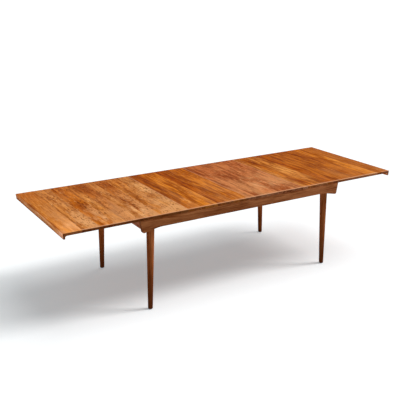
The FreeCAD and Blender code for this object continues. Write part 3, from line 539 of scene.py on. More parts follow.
    def veined(self, graph: ShaderGraph, colour: Socket, bent: Socket) -> Socket:
        """Return the colour with thin dark veins along the grain."""
        veins = self.grown(graph, bent, self.vein, most=self.veins)
        return graph.mix(veins, colour, self.vein_tint, "MULTIPLY")

    def weathered(self, graph: ShaderGraph, colour: Socket, coordinates: Any, place: Socket) -> Socket:
        """Bleach the wood in patches, more towards the front of the table, where the paling is partly
        painted sheen, and fleck, stain and wear it.

        Args:
            graph: The graph that takes the nodes.
            colour: The colour of the fresh wood.
            coordinates: The place on the table and the way the surface faces.
            place: The place in the wood.

        Returns:
            The colour of the weathered wood, painted light included.
        """
        spot = coordinates["Object"]
        parts = graph.add("ShaderNodeSeparateXYZ", {0: spot}).outputs
        upward = graph.measure("DOT_PRODUCT", coordinates["Normal"], Axis.UPRIGHT.direction)
        open_air = graph.remap(upward, *self.underside)
        bleach, fleck, _ = (graph.math("MULTIPLY", part, open_air) for part in self.figure(graph))
        # Painted sheen in part: the bleached patches grow towards the front of the table.
        front = graph.remap(parts[Axis.ACROSS.value], *self.sunned)
        patches = graph.math("MULTIPLY", self.grown(graph, place, self.patch), front)
        colour = graph.mix(graph.math("MULTIPLY", patches, bleach), colour, self.bleached)
        glints = graph.math("MULTIPLY", self.grown(graph, place, self.glint), bleach)
        colour = graph.mix(graph.math("MULTIPLY", glints, self.glint.amount), colour, self.glinting)
        crowd = self.grown(graph, place, self.crowd, self.least_crowd, self.most_crowd)
        spots = graph.math("MULTIPLY", self.grown(graph, place, self.spot), crowd)
        flecks = graph.math("MULTIPLY", spots, graph.math("MULTIPLY", fleck, self.spot.amount))
        colour = graph.mix(flecks, colour, self.fleck_tint, "MULTIPLY")
        # Slow tides of colour; several of them are painted light or shade, as noted where they are given.
        for tide in self.tides:
            share = graph.remap(parts[tide.axis.value], tide.start, tide.end)
            colour = graph.mix(share, colour, (*tide.tint, 1.0), "MULTIPLY")
        colour = self.marked(graph, colour, spot, open_air)
        if not self.staved:
            return colour
        # Paler along the edges: partly wear, partly a painted highlight along the arris.
        wear = graph.attribute("wear", "Fac")
        return graph.mix(graph.math("MULTIPLY", wear, self.wear_share), colour, self.worn)

    def marked(self, graph: ShaderGraph, colour: Socket, spot: Socket, open_air: Socket) -> Socket:
        """Lay the stains, the bleached patches and the painted glint over the wood, but not on its
        underside.

        Args:
            graph: The graph that takes the nodes.
            colour: The colour under the marks.
            spot: The place on the table.
            open_air: 1 where the surface lies open, and 0 on the underside.

        Returns:
            The colour with the marks.
        """
        shake = graph.vector("SUBTRACT", graph.noise(spot, self.blot.scale).outputs["Color"], MIDDLE)
        shaken = graph.vector("ADD", spot, graph.vector("MULTIPLY", shake, self.blot_shake))
        for mark in self.marks:
            away = graph.vector("SUBTRACT", shaken, (*mark.middle, 0.0))
            away = graph.vector("MULTIPLY", away, (1 / mark.reach[0], 1 / mark.reach[1], 0.0))
            within = graph.remap(graph.measure("LENGTH", away), self.blot.low, self.blot.high)
            share = graph.math("MULTIPLY", within, open_air)
            colour = graph.mix(share, colour, (*mark.tint, 1.0), "MULTIPLY")
        return colour

    def shaded(self, graph: ShaderGraph, colour: Socket, coordinates: Any) -> Socket:
        """Darken the ends of the grain.

        Args:
            graph: The graph that takes the nodes.
            colour: The colour of the wood.
            coordinates: The place on the table and the way the surface faces.

        Returns:
            The colour with its dark ends.
        """
        along = graph.measure("DOT_PRODUCT", coordinates["Normal"], self.grain.direction)
        ends = graph.remap(graph.math("ABSOLUTE", along), *self.end_turn)
        return graph.mix(ends, colour, (*self.end_shade, 1.0), "MULTIPLY")


@dataclass(frozen=True)
class Metal:
    """Plain or dulled metal with fine scratches."""

    name: str
    colour: Colour
    tarnish: Tint = (0.6, 0.57, 0.53)
    roughness: float = 0.38
    rougher: float = 0.12
    smoother: float = 0.06
    cloud: Pattern = Pattern(160, low=0.3, high=0.7)
    scratch: Pattern = Pattern(2600, 0.15, amount=0.35)
    scratch_depth: float = 0.00008

    def material(self) -> bpy.types.Material:
        """Make the material.

        Returns:
            The finished material.
        """
        material = bpy.data.materials.new(self.name)
        graph = ShaderGraph.emptied(material)
        place = graph.add("ShaderNodeTexCoord").outputs["Object"]
        cloud = graph.noise(place, self.cloud.scale).outputs[0]
        stretched = graph.vector("MULTIPLY", place, Axis.ACROSS.stretch(self.scratch.share))
        lines = graph.noise(stretched, self.scratch.scale, detail=2.0, roughness=0.5).outputs[0]
        colour = graph.mix(cloud, tinted(self.colour, self.tarnish), self.colour)
        dull, smooth = self.roughness + self.rougher, self.roughness - self.smoother
        rough = graph.remap(cloud, self.cloud.low, self.cloud.high, dull, smooth)
        normal = graph.relief(lines, self.scratch.amount, self.scratch_depth)
        graph.surface(colour, rough, normal, Metallic=1.0)
        return material


@dataclass(frozen=True)
class Plastic:
    """Moulded plastic, scuffed dull."""

    name: str
    colour: Colour
    scuff_tint: Tint = (1.9, 1.9, 1.9)
    scuff_levels: tuple[float, float] = (0.5, 0.7)
    roughness: float = 0.55
    rougher: float = 0.2
    scuff: Pattern = Pattern(420, low=0.35, high=0.65, amount=0.2)
    scuff_depth: float = 0.0001

    def material(self) -> bpy.types.Material:
        """Make the material.

        Returns:
            The finished material.
        """
        material = bpy.data.materials.new(self.name)
        graph = ShaderGraph.emptied(material)
        place = graph.add("ShaderNodeTexCoord").outputs["Object"]
        scuff = graph.noise(place, self.scuff.scale, detail=4.0, roughness=0.65).outputs[0]
        pale = graph.remap(scuff, *self.scuff_levels)
        colour = graph.mix(pale, self.colour, tinted(self.colour, self.scuff_tint))
        dull = self.roughness + self.rougher
        rough = graph.remap(scuff, self.scuff.low, self.scuff.high, self.roughness, dull)
        normal = graph.relief(scuff, self.scuff.amount, self.scuff_depth)
        graph.surface(colour, rough, normal)
        return material


@dataclass(frozen=True)
class Stave:
    """One strip of a board, with its width in metres and the look of its wood."""

    width: float
    tone: Tone
    bleach: float = 0.2
    fleck: float = 0.2
    ripple: float = 0.0


@dataclass
class StaveBoard:
    """A board of the top, glued up from staves whose grain runs across the table."""

    node: str
    body: str
    staves: tuple[Stave, ...]
    starts: float
    ends: float
    seams: tuple[bool, bool]
    seed: int
    streaks: float
    edge_tint: Tint
    face_wear: float
    bevel_width: float = 0.008
    bevel_rise: float = 0.002
    edge_round: float = 0.0035
    seam_ease: float = 0.0006
    wear_width: float = 0.022
    seam_wear: float = 0.007
    back_wear: float = 0.05
    inner_shine: float = 0.8
    seam_shine: float = 0.7
    round_steps: int = 4
    crease: float = 28.0
    heart_along: tuple[float, float] = (0.2, 0.8)
    heart_across: tuple[float, float] = (-0.9, 0.9)
    heart_height: tuple[float, float] = (0.60, 0.69)

    def section(self) -> list[tuple[float, float, float]]:
        """Draw the board's section.

        Returns:
            The points round it, each as its place across, its height and its wear and painted highlight.
        """
        low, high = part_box(self.node)
        edge, foot, top = high.y, low.z, high.z
        arris = top - self.edge_round
        # Paler up the front face, round the arris and onto the top: partly wear, partly a painted
        # highlight; the back edge gets little of it.
        half = [
            (edge - self.bevel_width, foot, 0.0),
            (edge, foot + self.bevel_rise, 0.0),
            (edge, top - self.face_wear, 0.0),
        ]
        for step in range(self.round_steps + 1):
            share = step / self.round_steps
            turn = math.pi / 2 * share
            across = edge - self.edge_round * (1 - math.cos(turn))
            half.append((across, arris + self.edge_round * math.sin(turn), (1 + share) / 2))
        half += [
            (edge - self.wear_width / 2, top, self.inner_shine),
            (edge - self.wear_width, top, 0.0),
        ]
        front = [(-across, up, wear) for across, up, wear in reversed(half)]
        return [(across, up, wear * self.back_wear) for across, up, wear in half] + front

    def stations(self) -> list[tuple[float, int, float, float]]:
        """Set out the rings of points along the board.

        Returns:
            Each ring's place, the stave that follows it, how far its top is let down, and its wear and
            painted highlight.
        """
        total = sum(stave.width for stave in self.staves)
        share = (self.ends - self.starts) / total
        joints = [self.starts]
        for stave in self.staves:
            joints.append(joints[-1] + stave.width * share)
        joints[-1] = self.ends
        rings = [(place, number, 0.0, 0.0) for number, place in enumerate(joints)]
        last, ease, shine = len(self.staves) - 1, self.seam_ease, self.seam_shine
        if self.seams[0]:
            rings[:1] = [
                (self.starts, 0, ease, shine),
                (self.starts + ease, 0, 0.0, shine),
                (self.starts + self.seam_wear, 0, 0.0, 0.0),
            ]
        if self.seams[1]:
            rings[-1:] = [
                (self.ends - self.seam_wear, last, 0.0, 0.0),
                (self.ends - ease, last, 0.0, shine),
                (self.ends, last, ease, shine),
            ]
        return rings

    def build(self) -> bpy.types.Object:
        """Make the board's mesh, with each stave's look on its faces.

        Returns:
            The board's object.
        """
        section = self.section()
        rings = self.stations()
        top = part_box(self.node)[1].z
        count = len(section)
        points, wear = [], []
        for place, _, drop, ring_wear_and_highlight in rings:
            for across, up, point_wear_and_highlight in section:
                points.append((place, across, min(up, top - drop)))
                wear.append(max(point_wear_and_highlight, ring_wear_and_highlight if up > top - self.edge_round else 0.0))
        faces, owners = [tuple(range(count))], [0]
        for ring in range(len(rings) - 1):
            base = ring * count
            ahead = base + count
            for point in range(count):
                following = (point + 1) % count
                faces.append((base + point, ahead + point, ahead + following, base + following))
                owners.append(min(rings[ring][1], len(self.staves) - 1))
        faces.append(tuple(reversed(range(len(points) - count, len(points)))))
        owners.append(len(self.staves) - 1)
        mesh = bpy.data.meshes.new(self.node + "_staves")
        mesh.from_pydata(points, [], faces)
        self.mark(mesh, owners, wear)
        if self.inside_out(mesh):
            mesh.flip_normals()
        mesh.shade_smooth()
        mesh.set_sharp_from_angle(angle=math.radians(self.crease))
        board = bpy.data.objects.new(mesh.name, mesh)
        bpy.context.scene.collection.objects.link(board)
        return board

    def inside_out(self, mesh: bpy.types.Mesh) -> bool:
        """Tell whether the mesh's faces point inwards."""
        middle = sum((vertex.co for vertex in mesh.vertices), Vector()) / len(mesh.vertices)
        return sum((face.center - middle).dot(face.normal) * face.area for face in mesh.polygons) < 0

    def mark(self, mesh: bpy.types.Mesh, owners: list[int], wear: list[float]) -> None:
        """Write each stave's tone, figure and heart on its faces, and the wear and painted highlight on the
        points.

        Args:
            mesh: The board's mesh.
            owners: The number of the stave that each face belongs to.
            wear: The wear and painted highlight of each point.
        """
        chance = random.Random(self.seed)
        hearts = []
        place = self.starts
        for stave in self.staves:
            middle = place + stave.width * chance.uniform(*self.heart_along)
            across = chance.uniform(*self.heart_across)
            hearts.append((middle, across, chance.uniform(*self.heart_height)))
            place += stave.width
        tones = mesh.attributes.new("tone", "FLOAT_COLOR", "FACE")
        figures = mesh.attributes.new("figure", "FLOAT_VECTOR", "FACE")
        centres = mesh.attributes.new("heart", "FLOAT_VECTOR", "FACE")
        for number, owner in enumerate(owners):
            stave = self.staves[owner]
            tones.data[number].color = stave.tone.colour
            figures.data[number].vector = (stave.bleach, stave.fleck, stave.ripple)
            centres.data[number].vector = hearts[owner]
        worn = mesh.attributes.new("wear", "FLOAT", "POINT")
        worn.data.foreach_set("value", wear)

    def dress(self, board: bpy.types.Object, finish: bpy.types.Material) -> None:
        """Finish the board and let it stand for its CAD node.

        Args:
            board: The board's object.
            finish: The material.
        """
        board.data.materials.append(finish)
        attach(board, self.body)
        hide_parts(self.node)


@dataclass
class Top:
    """The four boards of the top and the downturned staves along its ends."""

    # Tints of the band along each board's front edge, over its dark end grain; the paler tints are partly a
    # painted highlight below the front arris.
    dark_edge: ClassVar[Tint] = (0.85, 0.75, 0.6)
    warm_edge: ClassVar[Tint] = (1.7, 2.2, 3.4)
    rose_edge: ClassVar[Tint] = (1.8, 2.4, 3.6)
    pale_edge: ClassVar[Tint] = (2.0, 2.8, 6.6)
    edge_span: ClassVar[tuple[float, float]] = (-0.492, -0.4995)
    veins: ClassVar[float] = 0.46

    boards: tuple[StaveBoard, ...]
    marks: tuple[Mark, ...] = (
        Mark((-1.135, -0.06), (0.075, 0.12), (0.74, 0.60, 0.42)),
        Mark((-1.38, -0.38), (0.07, 0.16), (1.06, 1.16, 1.36)),
        Mark((-1.13, -0.40), (0.09, 0.13), (1.14, 1.24, 1.40)),
        Mark((-1.03, 0.38), (0.05, 0.16), (0.85, 0.79, 0.76)),
        Mark((-1.04, 0.02), (0.045, 0.18), (1.16, 1.30, 1.55)),
        Mark((-0.95, 0.32), (0.10, 0.24), (0.84, 0.74, 0.64)),
        Mark((-0.86, -0.38), (0.09, 0.16), (1.20, 1.32, 1.48)),
        Mark((-0.77, 0.38), (0.05, 0.14), (0.84, 0.72, 0.60)),
        Mark((-0.79, -0.07), (0.07, 0.03), (0.82, 0.70, 0.58)),
        Mark((-0.65, 0.34), (0.06, 0.20), (1.24, 1.32, 1.36)),
        Mark((-0.565, 0.16), (0.055, 0.22), (1.18, 1.30, 1.50)),
        Mark((-0.58, -0.10), (0.07, 0.06), (0.82, 0.70, 0.56)),
        Mark((-0.46, 0.36), (0.075, 0.30), (0.82, 0.70, 0.54)),
        Mark((-0.24, 0.26), (0.045, 0.40), (0.80, 0.68, 0.54)),
        # A small bright spot: a painted glint.
        Mark((-0.432, -0.31), (0.02, 0.07), (1.42, 1.80, 2.40)),
        Mark((-0.12, -0.02), (0.12, 0.035), (1.06, 1.12, 1.25)),
        Mark((0.03, 0.32), (0.06, 0.24), (0.86, 0.77, 0.66)),
        Mark((0.18, -0.05), (0.016, 0.36), (0.70, 0.60, 0.52)),
        Mark((0.32, -0.34), (0.13, 0.20), (1.20, 1.36, 1.56)),
        Mark((0.54, 0.33), (0.04, 0.25), (1.30, 1.42, 1.55)),
        Mark((0.60, 0.35), (0.045, 0.15), (0.62, 0.50, 0.36)),
        Mark((0.70, 0.0), (0.10, 0.15), (1.16, 1.30, 1.48)),
        Mark((0.61, -0.36), (0.05, 0.10), (0.82, 0.70, 0.58)),
        Mark((0.862, 0.12), (0.016, 0.36), (1.12, 1.22, 1.40)),
        Mark((1.15, 0.16), (0.05, 0.26), (0.86, 0.76, 0.60)),
        Mark((1.09, -0.32), (0.06, 0.08), (0.84, 0.73, 0.58)),
        Mark((1.27, 0.0), (0.05, 0.20), (1.14, 1.20, 1.15)),
    )
    # Painted sheen: the back half of the top darkens towards the back, so that the front reads paler. The
    # second tide darkens a thin band along the back edge.
    across: tuple[Tide, ...] = (
        Tide(Axis.ACROSS, 0.0, 0.5, (0.91, 0.84, 0.76)),
        Tide(Axis.ACROSS, 0.482, 0.497, (0.72, 0.62, 0.54)),
    )
    # The left end stave: a dark band just inside its outer edge; its outer face lightened, painted light on
    # a face that turns away from the lamps; and painted sheen, paler towards the front and darker towards
    # the back.
    left_end_band_and_painted_light: tuple[Tide, ...] = (
        Tide(Axis.ALONG, -1.431, -1.438, (0.70, 0.56, 0.42)),
        Tide(Axis.ALONG, -1.4405, -1.4445, (2.44, 3.86, 10.0)),
        Tide(Axis.ACROSS, -0.1, -0.45, (1.35, 1.45, 1.7)),
        Tide(Axis.ACROSS, 0.1, 0.45, (0.94, 0.82, 0.74)),
    )
    # The pale band along the right end stave's front edge: partly wear, partly a painted highlight, as on
    # the boards.
    right_end_edge_wear_and_highlight: tuple[Tide, ...] = (Tide(Axis.ACROSS, -0.484, -0.497, pale_edge),)

    @classmethod
    def from_frame(cls) -> "Top":
        """Lay out the staves on the boards of the frame.

        Returns:
            The top, ready to build.
        """
        left_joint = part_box("left_end_lip")[1].x
        right_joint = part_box("right_end_lip")[0].x
        left_half = (
            Stave(0.125, Tone.TAN, 0.9, 0.9),
            Stave(0.115, Tone.AMBER, 0.8, 1.0),
            Stave(0.075, Tone.HONEY, 0.45, 0.9),
            Stave(0.095, Tone.RUSSET, 0.5, 1.0),
            Stave(0.075, Tone.TAN, 0.8, 0.9),
            Stave(0.095, Tone.RUSSET, 0.7, 1.0),
            Stave(0.125, Tone.HONEY, 0.8, 1.0),
            Stave(0.095, Tone.SAND, 0.8, 1.0),
        )
        left_leaf = (
            Stave(0.110, Tone.CHESTNUT, 0.15, 0.3),
            Stave(0.135, Tone.GOLD, 0.2, 0.1),
            Stave(0.065, Tone.UMBER, 0.12, 0.2),
            Stave(0.075, Tone.CHESTNUT, 0.15, 0.2),
            Stave(0.130, Tone.AMBER, 0.2, 0.2),
        )
        right_leaf = (
            Stave(0.065, Tone.ROSE, 0.3, 0.4, 0.5),
            Stave(0.135, Tone.ROSE, 0.4, 0.4, 0.6),
            Stave(0.315, Tone.ROSE, 0.5, 0.4, 0.6),
        )
        right_half = (
            Stave(0.050, Tone.TAN, 0.1, 0.2),
            Stave(0.070, Tone.AMBER, 0.1, 0.3),
            Stave(0.135, Tone.HONEY, 0.1, 0.2),
            Stave(0.080, Tone.UMBER, 0.1, 0.3),
            Stave(0.115, Tone.CHESTNUT, 0.05, 0.2),
            Stave(0.105, Tone.CHESTNUT, 0.15, 0.2),
            Stave(0.135, Tone.CHESTNUT, 0.08, 0.2),
            Stave(0.105, Tone.GOLD, 0.2, 0.1),
        )
        # Each row: node, body, staves, seams, seed, streaks, the tint of the front edge band, and how far
        # down the front face the wear and painted highlight reach.
        rows = (
            ("left_top_board", "left_top", left_half, (False, True), 3, 0.85, cls.dark_edge, 0.004),
            ("left_leaf_board", "left_leaf", left_leaf, (True, True), 5, 1.6, cls.warm_edge, 0.010),
            ("right_leaf_board", "right_leaf", right_leaf, (True, True), 8, 1.7, cls.rose_edge, 0.010),
            ("right_top_board", "right_top", right_half, (True, False), 13, 1.65, cls.pale_edge, 0.009),
        )
        boards = []
        for node, body, staves, seams, seed, streaks, tint, wear in rows:
            low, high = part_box(node)
            starts = low.x if seams[0] else left_joint
            ends = high.x if seams[1] else right_joint
            boards.append(StaveBoard(node, body, staves, starts, ends, seams, seed, streaks, tint, wear))
        return cls(tuple(boards))

    def dress(self) -> None:
        """Build and finish the boards, and finish the end staves."""
        for board in self.boards:
            piece = board.build()
            # The board's front edge band takes its tint, which is partly a painted highlight.
            finish = Wood(
                piece.name.replace("_", " "),
                Axis.ACROSS,
                streaks=board.streaks,
                veins=self.veins,
                tides=(*self.across, Tide(Axis.ACROSS, *self.edge_span, board.edge_tint)),
                marks=self.marks,
            )
            board.dress(piece, finish.material())
            LOG.info("%s: %d staves", piece.name, len(board.staves))
        for node, tone, heart, bleach, tides in (
            ("left_end_lip", Tone.HONEY, (-1.39, 0.3, 0.64), 0.5, self.left_end_band_and_painted_light),
            ("right_end_lip", Tone.CHESTNUT, (1.37, -0.2, 0.65), 0.2, self.right_end_edge_wear_and_highlight),
        ):
            title = node.replace("_", " ")
            lip = Wood(title, Axis.ACROSS, tone.colour, bleach=bleach, heart=heart, tides=tides)
            paint(node, lip.material())


class FittingGraph(Graph):
    """Adds the nodes of a tree that sets one kind of fitting at each point of a mesh."""

    def __init__(self, name: str, sizes: Iterable[str]) -> None:
        """Start a tree with inputs for the points, the finish and each named size.

        Args:
            name: The tree's name.
            sizes: The names of the sizes.
        """
        super().__init__(bpy.data.node_groups.new(name, "GeometryNodeTree"))
        inputs = {"points": "NodeSocketGeometry", "finish": "NodeSocketMaterial"}
        inputs.update({size: "NodeSocketFloat" for size in sizes})
        for label, kind in inputs.items():
            self.tree.interface.new_socket(label, in_out="INPUT", socket_type=kind)
        self.tree.interface.new_socket("fittings", in_out="OUTPUT", socket_type="NodeSocketGeometry")
        self.given = self.add("NodeGroupInput").outputs

    def share(self, size: str, factor: float) -> Socket:
        """Return a share of a named size."""
        return self.math("MULTIPLY", self.given[size], factor)

    def joined(self, shapes: Sequence[Socket]) -> Socket:
        """Join several shapes.

        Args:
            shapes: The sockets of the shapes.

        Returns:
            The socket of the joined shape.
        """
        node = self.add("GeometryNodeJoinGeometry")
        for shape in shapes:
            self.tree.links.new(shape, node.inputs[0])
        return node.outputs[0]

    def lifted(self, shape: Socket, height: Feed) -> Socket:
        """Return a shape moved up by a height."""
        up = self.add("ShaderNodeCombineXYZ", {2: height}).outputs[0]
        return self.add("GeometryNodeTransform", {"Geometry": shape, "Translation": up}).outputs[0]

    def turned(self, stations: Sequence[tuple[Feed, Feed]], sides: int = 24) -> Socket:
        """Turn a closed solid.

        Args:
            stations: Heights and radii, from the foot up.
            sides: The number of flats round the solid.

        Returns:
            The solid's socket.
        """
        shells = []
        for (low, wide), (high, narrow) in zip(stations, stations[1:]):
            depth = self.math("SUBTRACT", high, low)
            feeds = {"Vertices": sides, "Radius Bottom": wide, "Radius Top": narrow, "Depth": depth}
            shell = self.add("GeometryNodeMeshCone", feeds, fill_type="NONE").outputs[0]
            shells.append(self.lifted(shell, low))
        for (height, wide), facing_down in ((stations[0], True), (stations[-1], False)):
            feeds = {"Vertices": sides, "Radius": wide}
            cap = self.add("GeometryNodeMeshCircle", feeds, fill_type="NGON").outputs[0]
            if facing_down:
                cap = self.add("GeometryNodeFlipFaces", {"Mesh": cap}).outputs[0]
            shells.append(self.lifted(cap, height))
        feeds = {"Geometry": self.joined(shells), "Distance": 1e-6}
        return self.add("GeometryNodeMergeByDistance", feeds).outputs[0]

    def bored(self, shape: Socket, tool: Socket) -> Socket:
        """Return a shape with a tool cut out of it."""
        feeds = {"Mesh 1": shape, "Mesh 2": tool}
        return self.add("GeometryNodeMeshBoolean", feeds, operation="DIFFERENCE").outputs[0]

    def finish(self, shape: Socket, spin: float, seed: int) -> None:
        """Set a shape at each point along the point's axis, as plain mesh with its finish.

        Args:
            shape: The fitting's socket.
            spin: The most that a fitting is turned about its axis by chance.
            seed: The seed of that chance.
        """
        feeds = {"Name": "axis"}
        axis = self.add("GeometryNodeInputNamedAttribute", feeds, data_type="FLOAT_VECTOR").outputs[0]
        aimed = self.add("FunctionNodeAlignRotationToVector", {"Vector": axis}, axis="Z").outputs[0]
        # Of the node's many inputs, 3 is the highest number and 8 the seed; output 1 is the number.
        angle = self.add("FunctionNodeRandomValue", {3: spin, 8: seed}, data_type="FLOAT").outputs[1]
        feeds = {"Axis": Axis.UPRIGHT.direction, "Angle": angle}
        about = self.add("FunctionNodeAxisAngleToRotation", feeds).outputs[0]
        feeds = {0: aimed, 1: about}
        turn = self.add("FunctionNodeRotateRotation", feeds, rotation_space="LOCAL").outputs[0]
        feeds = {"Points": self.given["points"], "Instance": shape, "Rotation": turn}
        placed = self.add("GeometryNodeInstanceOnPoints", feeds).outputs[0]
        plain = self.add("GeometryNodeRealizeInstances", {"Geometry": placed}).outputs[0]
        feeds = {"Geometry": plain, "Material": self.given["finish"]}
        dressed = self.add("GeometryNodeSetMaterial", feeds).outputs[0]
        self.add("NodeGroupOutput", {0: dressed})


@dataclass(frozen=True)
class Fitting:
    """A small part that is set at many places; its sizes are the inputs of its Geometry Nodes tree."""

    spin: ClassVar[float] = 0.0
    tip_width: ClassVar[float] = 0.0003

    length: float
    width: float

    def shape(self, graph: FittingGraph) -> Socket:
        """Draw one fitting, standing on the origin."""
        raise NotImplementedError


@dataclass(frozen=True)
class Screw(Fitting):
    """A slotted wood screw, from its head up to its point."""

    spin: ClassVar[float] = math.tau
    dome: ClassVar[tuple[tuple[float, float], ...]] = ((0.0, 0.30), (0.16, 0.42), (0.45, 0.5), (1.0, 0.5))
    neck: ClassVar[float] = 1.05
    point: ClassVar[float] = 0.006

    head_height: float = 0.003
    shank_width: float = 0.0045
    slot_width: float = 0.0011
    slot_depth: float = 0.0014

    def shape(self, graph: FittingGraph) -> Socket:
        """Draw the domed head with its slot, the shank and the point.

        Args:
            graph: The graph that takes the nodes.

        Returns:
            The fitting's socket.
        """
        given = graph.given
        shank = graph.share("shank_width", 0.5)
        stations = [(graph.share("head_height", up), graph.share("width", out)) for up, out in self.dome]
        stations += [
            (graph.share("head_height", self.neck), shank),
            (graph.math("SUBTRACT", given["length"], self.point), shank),
            (given["length"], self.tip_width),
        ]
        feeds = {0: given["width"], 1: given["slot_width"], 2: graph.share("slot_depth", 2)}
        size = graph.add("ShaderNodeCombineXYZ", feeds)
        slot = graph.add("GeometryNodeMeshCube", {"Size": size.outputs[0]}).outputs[0]
        return graph.bored(graph.turned(stations), slot)


@dataclass(frozen=True)
class Bolt(Fitting):
    """A threaded leg bolt."""

    ease: ClassVar[float] = 0.0012
    wind_sides: ClassVar[int] = 16
    ridge_sides: ClassVar[int] = 4

    core: float = 0.82
    pitch: float = 0.0018

    def shape(self, graph: FittingGraph) -> Socket:
        """Draw the core with its eased ends and the thread wound round it.

        Args:
            graph: The graph that takes the nodes.

        Returns:
            The fitting's socket.
        """
        given = graph.given
        core = graph.math("MULTIPLY", graph.share("width", 0.5), given["core"])
        eased = graph.math("SUBTRACT", core, self.ease)
        stations = [
            (0.0, eased),
            (self.ease, core),
            (graph.math("SUBTRACT", given["length"], self.ease), core),
            (given["length"], eased),
        ]
        run = graph.math("SUBTRACT", given["length"], 4 * self.ease)
        winds = {
            "Resolution": self.wind_sides,
            "Rotations": graph.math("DIVIDE", run, given["pitch"]),
            "Start Radius": core,
            "End Radius": core,
            "Height": run,
        }
        helix = graph.add("GeometryNodeCurveSpiral", winds).outputs[0]
        ridge = graph.math("SUBTRACT", graph.share("width", 0.5), core)
        feeds = {"Resolution": self.ridge_sides, "Radius": ridge}
        profile = graph.add("GeometryNodeCurvePrimitiveCircle", feeds).outputs[0]
        feeds = {"Curve": helix, "Profile Curve": profile, "Fill Caps": True}
        thread = graph.add("GeometryNodeCurveToMesh", feeds).outputs[0]
        return graph.joined([graph.turned(stations), graph.lifted(thread, 2 * self.ease)])


@dataclass(frozen=True)
class Washer(Fitting):
    """A flat washer with eased edges."""

    sides: ClassVar[int] = 32
    corner: ClassVar[float] = 1.0
    overcut: ClassVar[float] = 0.001

    hole: float = 0.0104
    ease: float = 0.0003

    def shape(self, graph: FittingGraph) -> Socket:
        """Draw the disc and bore it.

        Args:
            graph: The graph that takes the nodes.

        Returns:
            The fitting's socket.
        """
        given = graph.given
        wide = graph.share("width", 0.5 * self.corner)
        eased = graph.math("SUBTRACT", wide, given["ease"])
        stations = [
            (0.0, eased),
            (given["ease"], wide),
            (graph.math("SUBTRACT", given["length"], given["ease"]), wide),
            (given["length"], eased),
        ]
        bore = graph.share("hole", 0.5)
        past = graph.math("ADD", given["length"], self.overcut)
        tool = graph.turned([(-self.overcut, bore), (past, bore)])
        return graph.bored(graph.turned(stations, self.sides), tool)


@dataclass(frozen=True)
class Nut(Washer):
    """A hexagon nut with its corners eased."""

    sides: ClassVar[int] = 6
    corner: ClassVar[float] = 1 / math.cos(math.pi / 6)

    ease: float = 0.0008


@dataclass(frozen=True)
class Peg(Fitting):
    """A turned wooden peg with eased ends."""

    half_up: ClassVar[float] = 0.4
    half_in: ClassVar[float] = 0.35

    tip: float = 0.0018

    def shape(self, graph: FittingGraph) -> Socket:
        """Draw the peg.

        Args:
            graph: The graph that takes the nodes.

        Returns:
            The fitting's socket.
        """
        given = graph.given
        wide = graph.share("width", 0.5)
        half = graph.math("SUBTRACT", wide, graph.share("tip", self.half_in))
        thin = graph.math("SUBTRACT", wide, given["tip"])
        rise = graph.share("tip", self.half_up)
        stations = [
            (0.0, thin),
            (rise, half),
            (given["tip"], wide),
            (graph.math("SUBTRACT", given["length"], given["tip"]), wide),
            (graph.math("SUBTRACT", given["length"], rise), half),
            (given["length"], thin),
        ]
        return graph.turned(stations)


@dataclass(frozen=True)
class Glide(Fitting):
    """A foot glide: a tread and a disc, with a pin up into the leg."""

    half_up: ClassVar[float] = 0.35
    half_in: ClassVar[float] = 0.4
    neck: ClassVar[float] = 1.02
    point: ClassVar[float] = 0.003
    sides: ClassVar[int] = 32

    disc: float = 0.004
    ease: float = 0.0015
    pin: float = 0.003

    def shape(self, graph: FittingGraph) -> Socket:
        """Draw the glide from its tread up to the point of its pin.

        Args:
            graph: The graph that takes the nodes.

        Returns:
            The fitting's socket.
        """
        given = graph.given
        wide = graph.share("width", 0.5)
        pin = graph.share("pin", 0.5)
        stations = [
            (0.0, graph.math("SUBTRACT", wide, given["ease"])),
            (
                graph.share("ease", self.half_up),
                graph.math("SUBTRACT", wide, graph.share("ease", self.half_in)),
            ),
            (given["ease"], wide),
            (given["disc"], wide),
            (graph.share("disc", self.neck), pin),
            (graph.math("SUBTRACT", given["length"], self.point), pin),
            (given["length"], self.tip_width),
        ]
        return graph.turned(stations, self.sides)


